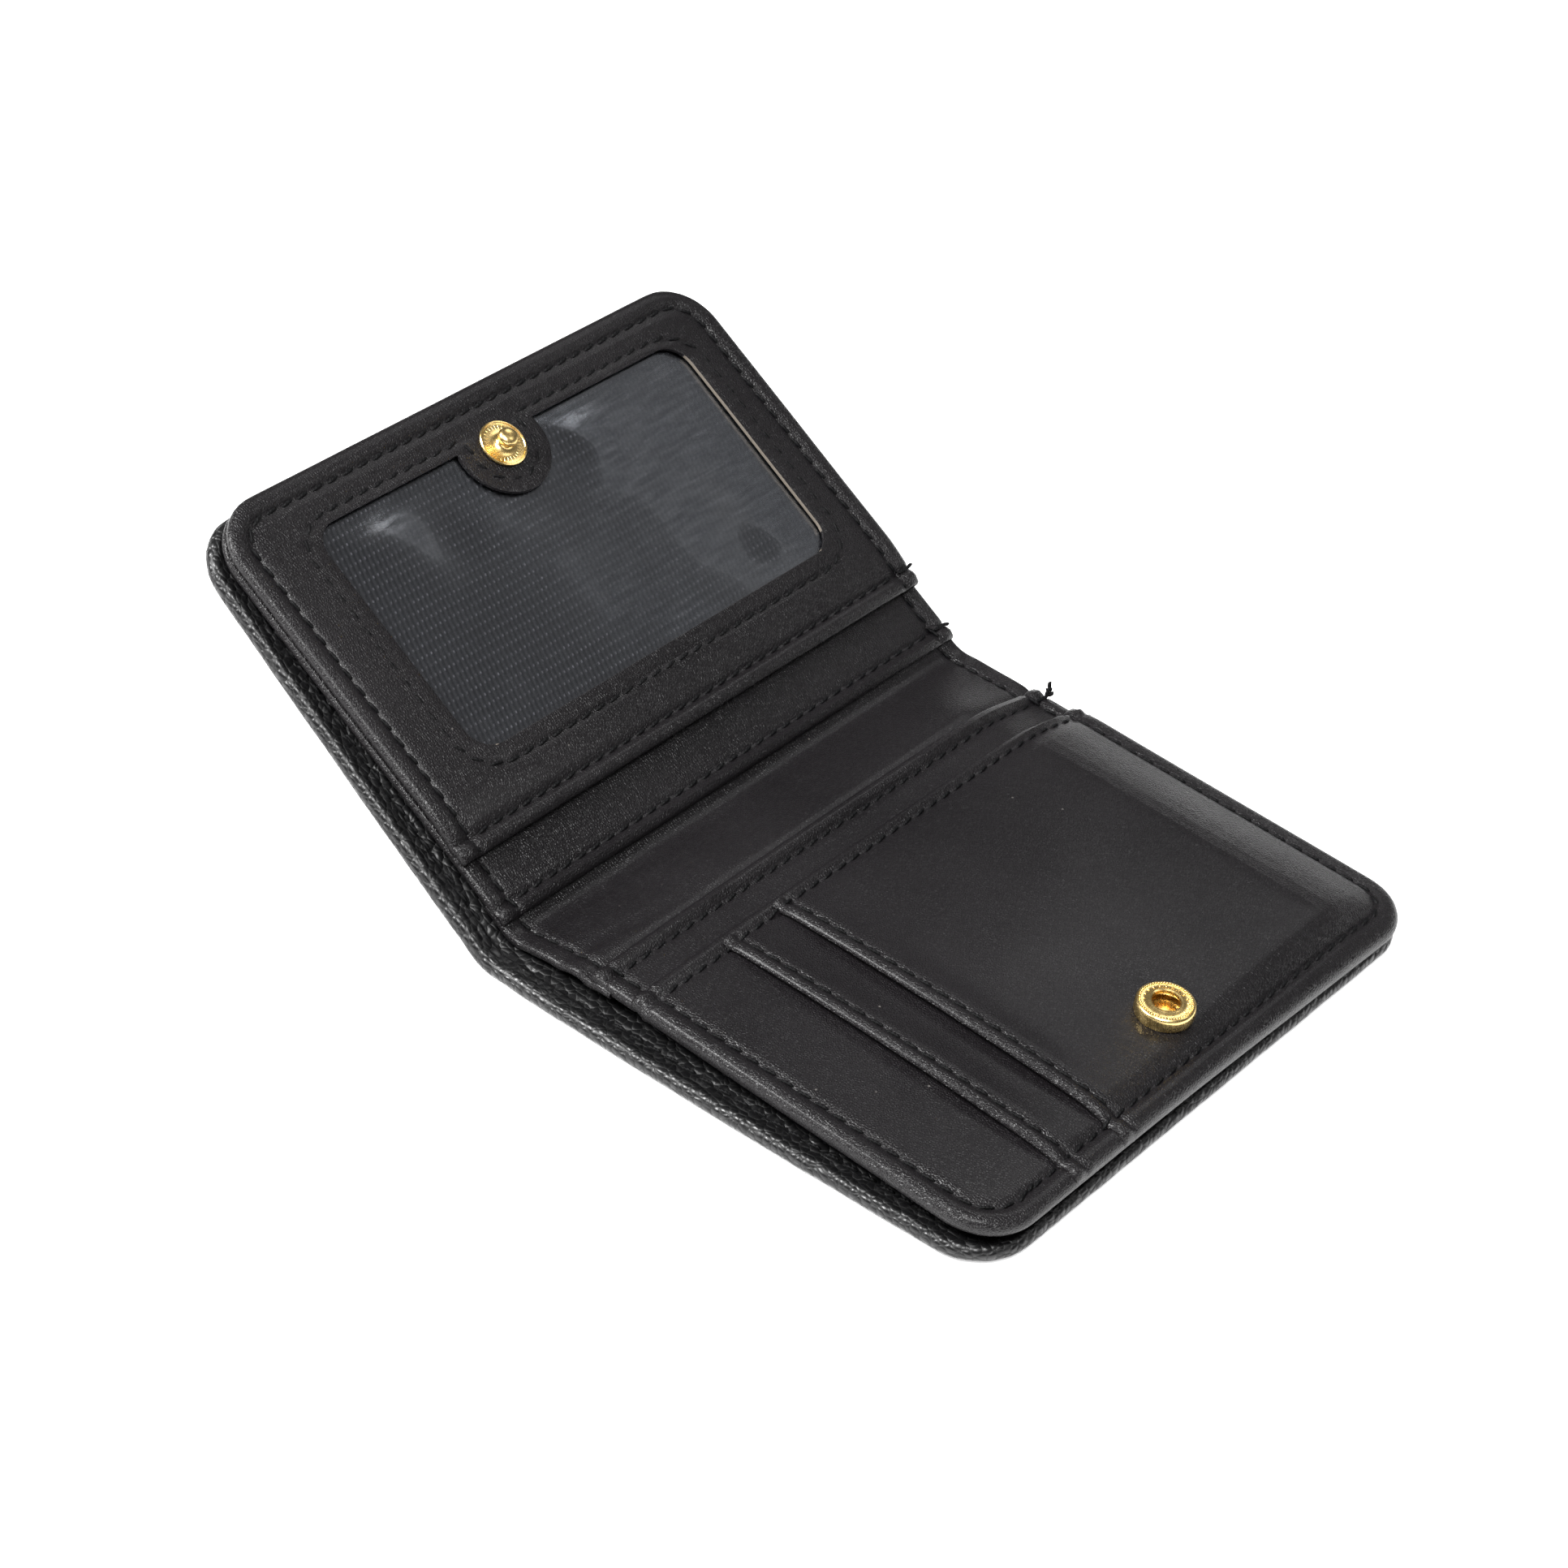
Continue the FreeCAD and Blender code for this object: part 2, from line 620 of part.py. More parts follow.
slot_inset = size("slotStitchInset")
thread_piece("edge_seam_right", "right", stitches([edge_seam(1)], right_surface))
thread_piece("edge_seam_left", "left", stitches([edge_seam(-1)], left_surface))
thread_piece("slot_seams_right", "right", stitches([
    fold_row(fold_x + size("underPocketStart") + slot_inset),
    fold_row(value_of(slot_edge) + slot_inset / 2),
    slot_row(value_of(mouth_b) + slot_inset),
    slot_row(value_of(mouth_c) + slot_inset),
], right_surface))
thread_piece("slot_seams_left", "left", stitches([
    fold_row(-(fold_x + size("lowerPocketStart") + slot_inset)),
    fold_row(-(value_of(window_edge) + slot_inset)),
], left_surface))
thread_piece("window_seam", "left", stitches(window_seam(), left_surface))

seam_y = half_length - size("stitchInset")
spine_reach = fold_x - 1.5
thread_piece("edge_seam_spine", "spine", stitches(
    [line(-spine_reach, seam_y, spine_reach, seam_y)], lambda x, y: value_of(spine_top)))

hem_y = -half_length + size("hemStitchInset")
for leaf, sign in (("right", 1), ("left", -1)):
    hem_row = line(sign * (fold_x + 1.5), hem_y, sign * (outer_x - size("cornerRadius")), hem_y)
    thread_piece(f"hem_seam_{leaf}", leaf, stitches([hem_row], lambda x, y: value_of(hem_top)))

# ---- Check everything, then write one file for each sub-part.

doc.recompute()
for item in doc.Objects:
    if "Invalid" in item.State or "Error" in item.State:
        raise RuntimeError(f"{item.Label}: {item.State}")
for part in parts:
    if part.Shape.isNull() or not part.Shape.isValid():
        raise RuntimeError(f"{part.Label}: bad shape")

os.makedirs("parts", exist_ok=True)
for part in parts:
    part.Shape.exportStep(f"parts/{part.Label}.step")
print(f"{len(parts)} sub-parts; fold lines at x = +-{fold_x:.3f}, z = {value_of(fold_height):.3f}")
print(f"leaf tops {value_of(leaf_top['right']):.3f} right and {value_of(leaf_top['left']):.3f} left")
print(f"outer edges at x = +-{outer_x:.3f}, snap at {value_of(snap_place):.3f}")
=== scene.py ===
import bpy
import bmesh
import json
import math
from mathutils import Matrix, Vector, noise

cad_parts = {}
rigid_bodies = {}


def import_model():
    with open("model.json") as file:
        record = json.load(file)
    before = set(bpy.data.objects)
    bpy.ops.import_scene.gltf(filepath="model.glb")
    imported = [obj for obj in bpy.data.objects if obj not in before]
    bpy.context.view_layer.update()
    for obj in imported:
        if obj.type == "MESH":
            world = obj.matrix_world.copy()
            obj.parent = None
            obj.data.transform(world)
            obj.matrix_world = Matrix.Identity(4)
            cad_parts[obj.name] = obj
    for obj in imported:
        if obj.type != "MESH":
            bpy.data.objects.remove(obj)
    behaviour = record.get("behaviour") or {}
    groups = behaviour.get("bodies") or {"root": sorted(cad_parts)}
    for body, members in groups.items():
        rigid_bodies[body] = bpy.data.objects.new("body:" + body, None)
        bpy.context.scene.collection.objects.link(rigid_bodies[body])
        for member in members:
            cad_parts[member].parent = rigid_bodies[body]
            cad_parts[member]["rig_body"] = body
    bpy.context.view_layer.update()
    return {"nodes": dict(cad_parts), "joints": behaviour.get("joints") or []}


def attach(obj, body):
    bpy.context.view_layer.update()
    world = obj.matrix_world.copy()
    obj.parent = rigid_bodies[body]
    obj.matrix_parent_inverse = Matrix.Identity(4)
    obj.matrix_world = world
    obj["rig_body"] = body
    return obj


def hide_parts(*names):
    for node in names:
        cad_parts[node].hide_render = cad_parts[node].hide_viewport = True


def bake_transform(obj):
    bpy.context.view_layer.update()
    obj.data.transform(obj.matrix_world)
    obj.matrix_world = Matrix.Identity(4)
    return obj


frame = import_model()
scene = bpy.context.scene
scene.view_settings.view_transform = "Standard"

# All shapes below are worked out in millimetres with the wallet opened flat, and the
# left leaf is then turned up about its fold to the angle at which it rests.
mm = 0.001
joints = {j["name"]: j for j in frame["joints"]}
leftFold = Vector(joints["left_fold"]["pos_m"]) / mm
restTilt = math.radians(-joints["left_fold"]["range_deg"][0])


def turned(p, share=1.0):
    # a point of the flat left leaf, raised about the left fold
    a = restTilt * share
    dx, dz = p.x - leftFold.x, p.z - leftFold.z
    return Vector((leftFold.x + dx * math.cos(a) + dz * math.sin(a), p.y,
                   leftFold.z - dx * math.sin(a) + dz * math.cos(a)))


def flatBox(node):
    # a CAD node's box in mm, with the left leaf laid flat
    left = frame["nodes"][node]["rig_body"] == "left_leaf"
    points = [turned(v.co / mm, -1.0) if left else v.co / mm for v in frame["nodes"][node].data.vertices]
    return (Vector([min(p[k] for p in points) for k in range(3)]),
            Vector([max(p[k] for p in points) for k in range(3)]))


def smooth(t):
    t = min(1.0, max(0.0, t))
    return t * t * (3 - 2 * t)


def bump(distance, width):
    # 1 on a line, falling to 0 at about twice the width to each side
    return math.exp(-(distance / width) ** 2)


def wave(x, y, size, seed):
    return noise.noise(Vector((x / size, y / size, seed)))


leaf = {
    "outer": flatBox("outer_shell_right")[1].x,
    "near": flatBox("outer_shell_right")[0].y,
    "far": flatBox("outer_shell_right")[1].y,
    "corner": 9.0,
    "liningCorner": 5.0,
    "bendReach": 4.0,
}


def rimDistance(x, y):
    # how far a flat point is in from the leaf's rounded outline, and the way out
    side = 1 if x >= 0 else -1
    ax, r = abs(x), leaf["corner"]
    overX = ax - (leaf["outer"] - r)
    overY = max((leaf["near"] + r) - y, y - (leaf["far"] - r))
    sideY = 1 if y > 0 else -1
    if overX > 0 and overY > 0:
        long = math.hypot(overX, overY)
        return r - long, Vector((side * overX / long, sideY * overY / long, 0))
    ways = [(leaf["outer"] - ax, Vector((side, 0, 0))), (y - leaf["near"], Vector((0, -1, 0))),
            (leaf["far"] - y, Vector((0, 1, 0)))]
    return min(ways, key=lambda w: w[0])


def bendShare(x):
    # how much of the rest angle a flat point beyond the left fold takes
    reach = leaf["bendReach"]
    return smooth((leftFold.x + reach - x) / (2 * reach))


# what the pieces below are made and finished with

def cuts(a, b, close, fine=0.35, coarse=2.4, reach=7.0):
    # places from a to b, closer together near the places in close
    out = [a]
    while out[-1] < b - 1e-6:
        near = min(abs(out[-1] - c) for c in close)
        out.append(out[-1] + fine + (coarse - fine) * min(1.0, near / reach))
    k = (b - a) / (out[-1] - a)
    return [a + (p - a) * k for p in out]


def added(primitive, **settings):
    # a primitive with nothing else selected
    bpy.ops.object.select_all(action="DESELECT")
    primitive(**settings)
    return bpy.context.object


def pickOut(piece):
    bpy.ops.object.select_all(action="DESELECT")
    piece.select_set(True)
    bpy.context.view_layer.objects.active = piece


def mergePoints(piece, distance, outward=False):
    # join doubled points; a swept shape also has its faces turned outwards
    pickOut(piece)
    bpy.ops.object.mode_set(mode="EDIT")
    bpy.ops.mesh.select_all(action="SELECT")
    bpy.ops.mesh.remove_doubles(threshold=distance)
    if outward:
        bpy.ops.mesh.normals_make_consistent(inside=False)
    bpy.ops.object.mode_set(mode="OBJECT")


def sided(xs, side):
    return xs if side == "right" else [-x for x in reversed(xs)]


def newGrid(name, xs, ys):
    # a grid from -1 to 1, spread over the places in xs and ys
    across, along = len(xs) - 1, len(ys) - 1
    piece = added(bpy.ops.mesh.primitive_grid_add, x_subdivisions=across, y_subdivisions=along, size=2)
    piece.name = piece.data.name = name
    for v in piece.data.vertices:
        i, j = round((v.co.x + 1) / 2 * across), round((v.co.y + 1) / 2 * along)
        v.co = (xs[i], ys[j], 0)
    return piece


def roundOff(x, y, grow):
    # squeeze the grid's two outer corners onto the rounded outline, made larger by grow
    r = leaf["corner"] + grow
    cx, cy = leaf["outer"] + grow - r, leaf["far"] + grow - r
    a, b = (abs(x) - cx) / r, (abs(y) - cy) / r
    if a <= 0 or b <= 0:
        return x, y
    return (math.copysign(cx + r * a * math.sqrt(1 - b * b / 2), x),
            math.copysign(cy + r * b * math.sqrt(1 - a * a / 2), y))


def useModifier(piece, kind, **settings):
    bpy.context.view_layer.objects.active = piece
    m = piece.modifiers.new(kind.title(), kind)
    for key, value in settings.items():
        setattr(m, key, value)
    bpy.ops.object.modifier_apply(modifier=m.name)


def finishMesh(piece, angle=40):
    pickOut(piece)
    bpy.ops.object.shade_smooth_by_angle(angle=math.radians(angle))
    return piece


def place(piece, turn):
    # from flat millimetres to metres, turned with the left leaf where it belongs to it
    for v in piece.data.vertices:
        p = v.co.copy()
        if turn == "left":
            p = turned(p)
        elif turn == "bend":
            p = turned(p, bendShare(p.x))
        v.co = p * mm
    piece.data.update()


def curledSheet(name, node, side, inner, top, thick, roll, mouth, inset=0.0, mouthY=None,
                keepRoll=None, close=(), cutout=None):
    # A leather panel of one leaf, with its face at top(x, y). Its outer, near and far sides roll
    # over the rim with radius roll. Its spine side is turned in, or its near side where mouthY
    # gives that side's place: mouth is the bend's radius and the width turned in. The roll is
    # left out beyond keepRoll, where another panel covers it.
    sign = 1 if side == "right" else -1
    grow = roll * (math.pi - 1) - inset
    bend, width = mouth
    turnIn = bend * (math.pi - 1) + width
    rimLines = [leaf["far"] - inset - d for d in (0, 1.2, layers["stitchIn"])]
    if mouthY is None:
        start, closeX = inner - turnIn, [inner, inner + layers["slotStitchIn"]]
        low, closeY = leaf["near"] - grow, [-line for line in rimLines]
    else:
        start, closeX = inner, [inner]
        low, closeY = mouthY - turnIn, [mouthY, mouthY + layers["slotStitchIn"]]
    closeX += [leaf["outer"] - layers["stitchIn"], leaf["outer"] - inset, *close]
    xs = sided(cuts(start, leaf["outer"] + grow, closeX), side)
    ys = cuts(low, leaf["far"] + grow, closeY + rimLines)
    piece = newGrid(name, xs, ys)
    hidden = []
    for v in piece.data.vertices:
        x, y = v.co.x, v.co.y
        if mouthY is None or y > 0:
            x, y = roundOff(x, y, grow)
        d, out = rimDistance(x, y)
        if mouthY is not None and y < mouthY + 12:
            d, out = leaf["outer"] - abs(x), Vector((sign, 0, 0))
        d -= inset
        drop, a, px, py, fx, fy = 0.0, 0.0, x, y, x, y
        if d < roll:
            s = roll - d
            a = s / roll
            foot = Vector((x, y, 0)) - out * s
            over = foot + out * roll * math.sin(a)
            px, py, fx, fy = over.x, over.y, foot.x, foot.y
            drop = roll * (1 - math.cos(a))
            if keepRoll is not None and abs(x) > keepRoll:
                hidden.append(v.index)
        s = bend - ((abs(px) - inner) if mouthY is None else (py - mouthY))
        if s > 0:
            move, fall = bend + (s - math.pi * bend), 2 * bend
            if s < math.pi * bend:
                move, fall = bend - bend * math.sin(s / bend), bend * (1 - math.cos(s / bend))
            if mouthY is None:
                px = fx = sign * (inner + move)
            else:
                py = fy = mouthY + move
            drop += fall * math.cos(a)
            px -= out.x * fall * math.sin(a)
            py -= out.y * fall * math.sin(a)
        v.co = (px, py, top(fx, fy) - drop)
    if hidden:
        bm = bmesh.new()
        bm.from_mesh(piece.data)
        bm.verts.ensure_lookup_table()
        bmesh.ops.delete(bm, geom=[bm.verts[i] for i in hidden], context="VERTS")
        bm.to_mesh(piece.data)
        bm.free()
    useModifier(piece, "SOLIDIFY", thickness=thick, offset=-1.0, use_even_offset=True, thickness_clamp=1.0)
    if cutout:
        cutWindow(piece, cutout)
    useModifier(piece, "BEVEL", width=min(0.16, thick * 0.35), segments=2, limit_method="ANGLE",
                angle_limit=math.radians(50), use_clamp_overlap=True)
    place(piece, "left" if side == "left" else None)
    finishMesh(piece)
    wear(piece, side + "_leaf", "smooth_leather", node)
    return piece


def plainSheet(name, side, inner, outer, near, far, top, thick, turn=None, step=1.6, corner=True):
    # a flat lining: four straight sides, cut with a little round at each corner
    xs = sided(cuts(inner, outer, [inner, outer], 0.5, step, 5), side)
    ys = cuts(near, far, [near, far], 0.5, step, 5)
    piece = newGrid(name, xs, ys)
    r = leaf["liningCorner"]
    cx = outer - r
    for v in piece.data.vertices:
        x, y = v.co.x, v.co.y
        a = (abs(x) - cx) / r
        b = max(y - (far - r), (near + r) - y) / r
        if corner and a > 0 and b > 0:
            px = cx + r * a * math.sqrt(1 - b * b / 2)
            over = r * b * math.sqrt(1 - a * a / 2)
            y = far - r + over if y > 0 else near + r - over
            x = math.copysign(px, x)
        v.co = (x, y, top(x, y))
    useModifier(piece, "SOLIDIFY", thickness=thick, offset=-1.0)
    place(piece, turn)
    return finishMesh(piece)


def cutWindow(piece, w):
    # the opening: a rounded rectangle less the half-round tab under the stud
    cutter = added(bpy.ops.mesh.primitive_cube_add, size=1, location=(0, 0, 0))
    for v in cutter.data.vertices:
        v.co.x = w["low"] if v.co.x < 0 else w["high"]
        v.co.y = w["near"] if v.co.y < 0 else w["far"]
        v.co.z *= 30
    bm = bmesh.new()
    bm.from_mesh(cutter.data)
    upright = [e for e in bm.edges if abs(e.verts[0].co.z - e.verts[1].co.z) > 1]
    bmesh.ops.bevel(bm, geom=upright, offset=w["corner"], segments=8, profile=0.5, affect="EDGES")
    bm.to_mesh(cutter.data)
    bm.free()
    tab = added(bpy.ops.mesh.primitive_cylinder_add, vertices=96, radius=w["tab"], depth=40,
                location=(w["tabPlace"], 0, 0))
    for cutBy, target in ((tab, cutter), (cutter, piece)):
        bpy.context.view_layer.objects.active = target
        m = target.modifiers.new("Cut", "BOOLEAN")
        m.operation, m.object, m.solver = "DIFFERENCE", cutBy, "EXACT"
        bpy.ops.object.modifier_apply(modifier=m.name)
        bpy.data.objects.remove(cutBy)


def wear(piece, body, slotName, *nodes):
    # the piece rides on a body, stands for these CAD nodes and takes this slot's finish
    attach(piece, body)
    dress(piece, slotName)
    if nodes:
        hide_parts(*nodes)


def dress(piece, slotName, material=None):
    piece.data.materials.clear()
    piece.data.materials.append(material or finishes[slotName])


# materials

class Wire:
    # a node's output that takes Python's arithmetic, adding a Math node for each sign
    def __init__(self, finish, socket):
        self.finish, self.socket = finish, socket

    def math(self, operation, *others):
        return self.finish.add("ShaderNodeMath", {"operation": operation},
                               {k: o for k, o in enumerate((self, *others))})

    def __add__(self, o): return self.math("ADD", o)
    def __radd__(self, o): return self.math("ADD", o)
    def __sub__(self, o): return self.math("SUBTRACT", o)
    def __mul__(self, o): return self.math("MULTIPLY", o)
    def __rmul__(self, o): return self.math("MULTIPLY", o)
    def __pow__(self, o): return self.math("POWER", o)

    def __rsub__(self, o):
        return self.finish.add("ShaderNodeMath", {"operation": "SUBTRACT"}, {0: o, 1: self})


class Finish:
    def __init__(self, name):
        self.material = bpy.data.materials.new(name)
        self.material.use_nodes = True
        self.tree = self.material.node_tree
        self.tree.nodes.clear()

    def add(self, kind, settings=None, values=None, output=0):
        n = self.tree.nodes.new(kind)
        for key, value in (settings or {}).items():
            setattr(n, key, value)
        for key, value in (values or {}).items():
            if isinstance(value, Wire):
                self.tree.links.new(value.socket, n.inputs[key])
            else:
                n.inputs[key].default_value = value
        return Wire(self, n.outputs[output]) if n.outputs else None

    def place(self, turn=0.0):
        spot = self.add("ShaderNodeTexCoord", output="Object")
        if turn:
            spot = self.add("ShaderNodeMapping", None, {"Vector": spot, "Rotation": (0, turn, 0)})
        return spot

    def stretched(self, spot, *scale):
        return self.add("ShaderNodeMapping", None, {"Vector": spot, "Scale": scale})

    def mix(self, share, a, b):
        return self.add("ShaderNodeMix", {"data_type": "RGBA"}, {0: share, 6: a, 7: b}, output=2)

    def acrossAndAlong(self, spot):
        parts = self.add("ShaderNodeSeparateXYZ", None, {0: spot}).socket.node.outputs
        return Wire(self, parts[0]), Wire(self, parts[1])

    def grey(self, value, low, high, outLow=0.0, outHigh=1.0):
        return self.add("ShaderNodeMapRange", None, {0: value, 1: low, 2: high, 3: outLow, 4: outHigh})

    def noise(self, spot, scale, detail=2.0, rough=0.5):
        return self.add("ShaderNodeTexNoise", None,
                        {"Vector": spot, "Scale": scale, "Detail": detail, "Roughness": rough})

    def cells(self, spot, scale, feature="F1"):
        values = {"Vector": spot, "Scale": scale}
        return self.add("ShaderNodeTexVoronoi", {"feature": feature}, values, "Distance")

    def relief(self, height, depth, strength=1.0, under=None):
        values = {"Height": height, "Distance": depth, "Strength": strength}
        if under:
            values["Normal"] = under
        return self.add("ShaderNodeBump", None, values)

    def done(self, shader):
        self.add("ShaderNodeOutputMaterial", None, {"Surface": shader})
        return self.material

    def surface(self, values):
        return self.done(self.add("ShaderNodeBsdfPrincipled", None, values))


# the dark colour is painted shade that fills the creases between the pebbles
pebbled = {
    "dark": (0.0012, 0.0012, 0.0013, 1), "light": (0.0045, 0.0044, 0.0047, 1),
    "pebble": 820.0, "depth": 0.00024, "shine": 0.3, "coat": 0.12,
}


def pebbledLeather():
    f = Finish("pebbled leather")
    spot = f.place()
    swirl = f.add("ShaderNodeTexNoise", None, {"Vector": spot, "Scale": 520.0, "Detail": 1.0}, output=1)
    warp = f.add("ShaderNodeVectorMath", {"operation": "SCALE"}, {0: swirl, "Scale": 0.0006})
    bent = f.add("ShaderNodeVectorMath", {"operation": "ADD"}, {0: spot, 1: warp})
    crease = f.grey(f.cells(bent, pebbled["pebble"], "DISTANCE_TO_EDGE"), 0.0, 0.22) ** 0.7
    dome = f.cells(bent, pebbled["pebble"])
    wrinkle = f.noise(bent, 2600.0, 3.0, 0.6)
    broad = f.noise(spot, 240.0, 2.0)
    height = 1.0 - dome * dome * 1.3 + crease * 0.12 + wrinkle * 0.05 + broad * 0.4
    normal = f.relief(height, pebbled["depth"], 1.0)
    # painted shade: the colour darkens along the creases between the pebbles; the wrinkle noise adds a random
    # tone
    tone = f.mix(crease * 0.8 + wrinkle * 0.2, pebbled["dark"], pebbled["light"])
    rough = f.grey(wrinkle * 0.4 + (1.0 - crease) * 0.8, 0.2, 1.0, pebbled["shine"], pebbled["shine"] + 0.3)
    return f.surface({"Base Color": tone, "Roughness": rough, "Normal": normal,
                      "Coat Weight": pebbled["coat"], "Coat Roughness": 0.18, "Specular IOR Level": 0.4})


satin = {
    "dark": (0.004, 0.0034, 0.0039, 1), "light": (0.007, 0.0059, 0.0067, 1), "dust": (0.3, 0.28, 0.26, 1),
    "grain": 2400.0, "depth": 0.00006, "shine": 0.31, "waves": 0.0002,
}


def satinLeather():
    f = Finish("satin leather")
    spot = f.place()
    fine = f.grey(f.cells(spot, satin["grain"], "DISTANCE_TO_EDGE"), 0.0, 0.28)
    pores = f.noise(spot, 5200.0, 2.0, 0.6)
    broad = f.noise(spot, 95.0, 3.0, 0.55)
    cloud = f.noise(spot, 30.0, 3.0, 0.6)
    creased = f.noise(f.stretched(spot, 1.0, 0.35, 1.0), 420.0, 3.0, 0.65)
    waves = f.relief(broad + creased * 0.18, satin["waves"], 0.7)
    normal = f.relief(fine + pores * 0.5, satin["depth"], 1.0, waves)
    speck = f.grey(f.cells(spot, 230.0), 0.0, 0.055, 1.0, 0.0)
    rare = f.grey(f.noise(spot, 140.0, 1.0), 0.53, 0.58)
    dust = speck * rare
    tone = f.mix(f.grey(cloud, 0.3, 0.7) * 0.7 + fine * 0.3, satin["dark"], satin["light"])
    tone = f.mix(dust * 0.7, tone, satin["dust"])
    rough = f.grey(cloud + pores * 0.35, 0.4, 0.95, satin["shine"] - 0.05, satin["shine"] + 0.12)
    return f.surface({"Base Color": tone, "Roughness": rough, "Normal": normal,
                      "Coat Weight": 0.1, "Coat Roughness": 0.16, "Specular IOR Level": 0.26})


def threadFinish():
    f = Finish("waxed thread")
    spot = f.place()
    ply = f.add("ShaderNodeTexWave", {"wave_type": "BANDS", "bands_direction": "DIAGONAL"},
                {"Vector": spot, "Scale": 900.0, "Distortion": 1.5, "Detail": 1.0}, output=1)
    fuzz = f.noise(spot, 7000.0, 2.0)
    tone = f.mix(fuzz, (0.0012, 0.0012, 0.0014, 1), (0.006, 0.006, 0.0065, 1))
    return f.surface({"Base Color": tone, "Roughness": f.grey(fuzz, 0.2, 0.8, 0.5, 0.7),
                      "Normal": f.relief(ply + fuzz * 0.3, 0.00006), "Specular IOR Level": 0.12})


def liningFabric():
    f = Finish("note lining")
    spot = f.place()
    across, along = f.acrossAndAlong(spot)
    cloth = ((across * 9000.0).math("SINE") * (along * 9000.0).math("SINE")) * 0.5 + 0.5
    cloud = f.noise(spot, 60.0, 3.0)
    tone = f.mix(cloth * 0.5 + cloud * 0.5, (0.006, 0.006, 0.0065, 1), (0.017, 0.0165, 0.017, 1))
    return f.surface({"Base Color": tone, "Roughness": f.grey(cloud, 0.3, 0.7, 0.6, 0.78),
                      "Normal": f.relief(cloth, 0.00004), "Sheen Weight": 0.15, "Sheen Roughness": 0.4})


weave = {"pitch": 0.95, "row": 0.85, "dark": (0.002, 0.0025, 0.004, 1), "dot": (0.12, 0.12, 0.132, 1)}


def wovenBacking():
    # rows of short light floats on a near-black ground, each row set over from the last
    f = Finish("dotted twill")
    across, along = f.acrossAndAlong(f.place(restTilt))
    turn = 2 * math.pi / mm
    row = (across * (turn / weave["row"])).math("SINE")
    shifted = along + across * 0.5
    dash = (shifted * (turn / weave["pitch"])).math("SINE")
    dots = f.grey(row, 0.5, 0.85) * f.grey(dash, 0.35, 0.8)
    fuzz = f.noise(f.place(), 1500.0, 2.0)
    patch = f.noise(f.place(), 70.0, 2.0)
    lit = dots * f.grey(fuzz, 0.25, 0.7) * f.grey(patch, 0.3, 0.7, 0.5, 1.0)
    tone = f.mix(lit, weave["dark"], weave["dot"])
    return f.surface({"Base Color": tone, "Roughness": f.grey(fuzz, 0.2, 0.8, 0.55, 0.75),
                      "Normal": f.relief(row * 0.5 + dash * 0.5, 0.00005)})


def clearFilm():
    # mirror-like only as much as clear plastic is, and see-through for the rest
    f = Finish("clear film")
    spot = f.place(restTilt)
    ripple = f.noise(spot, 42.0, 1.0, 0.4)
    scuff = f.noise(f.stretched(spot, 1.0, 0.2, 1.0), 900.0, 3.0, 0.7)
    normal = f.relief(ripple + scuff * 0.002, 0.0006, 0.5)
    gloss = f.add("ShaderNodeBsdfPrincipled", None, {
        "Base Color": (0.9, 0.92, 0.95, 1), "Metallic": 1.0,
        "Roughness": f.grey(scuff, 0.3, 0.8, 0.06, 0.2), "Normal": normal})
    clear = f.add("ShaderNodeBsdfTransparent", None, {0: (0.93, 0.93, 0.94, 1)})
    fresnel = f.add("ShaderNodeFresnel", None, {"IOR": 1.5, "Normal": normal})
    haze = f.grey(f.noise(spot, 38.0, 2.0), 0.5, 0.75, 0.0, 0.006)
    share = fresnel * 0.6 + haze
    return f.done(f.add("ShaderNodeMixShader", None, {0: share, 1: clear, 2: gloss}))


def goldBrass():
    f = Finish("gold brass")
    spot = f.place()
    brush = f.noise(f.stretched(spot, 1.0, 1.0, 0.15), 5200.0, 3.0, 0.7)
    cloud = f.noise(spot, 700.0, 2.0)
    tone = f.mix(cloud, (0.80, 0.55, 0.20, 1), (0.93, 0.70, 0.31, 1))
    return f.surface({"Base Color": tone, "Metallic": 1.0,
                      "Roughness": f.grey(brush + cloud * 0.4, 0.4, 1.0, 0.18, 0.36),
                      "Normal": f.relief(brush, 0.00001, 0.6)})


plain = {
    "spring steel": {"grain": (4000.0, 2.0, 0.5), "shine": (0.2, 0.38), "depth": 0.00001, "metal": 1.0,
                     "dark": (0.42, 0.40, 0.36, 1), "light": (0.62, 0.60, 0.56, 1)},
    "stiffening board": {"grain": (1800.0, 4.0, 0.7), "shine": (0.75, 0.92), "depth": 0.00005, "metal": 0.0,
                         "dark": (0.16, 0.13, 0.1, 1), "light": (0.26, 0.22, 0.17, 1)},
    "raw cut edge": {"grain": (5200.0, 3.0, 0.7), "shine": (0.65, 0.85), "depth": 0.00004, "metal": 0.0,
                     "dark": (0.06, 0.05, 0.04, 1), "light": (0.2, 0.17, 0.135, 1)},
}


def plainFinish(name):
    # one grain that sets the tone, the shine and the relief
    f, look = Finish(name), plain[name]
    grain = f.noise(f.place(), *look["grain"])
    return f.surface({"Base Color": f.mix(grain, look["dark"], look["light"]), "Metallic": look["metal"],
                      "Roughness": f.grey(grain, 0.2, 0.8, *look["shine"]),
                      "Normal": f.relief(grain, look["depth"])})


finishes = {
    "grained_leather": pebbledLeather(), "smooth_leather": satinLeather(),
    "board": plainFinish("stiffening board"), "lining": liningFabric(), "woven_backing": wovenBacking(),
    "clear_film": clearFilm(), "thread": threadFinish(), "gold_brass": goldBrass(),
    "spring_steel": plainFinish("spring steel"),
}
rawEdge = plainFinish("raw cut edge")
for node, piece in frame["nodes"].items():
    slotName = piece.data.materials[0].name.split(".")[0]
    if slotName in finishes:
        piece.data.materials[0] = finishes[slotName]
print("materials made")

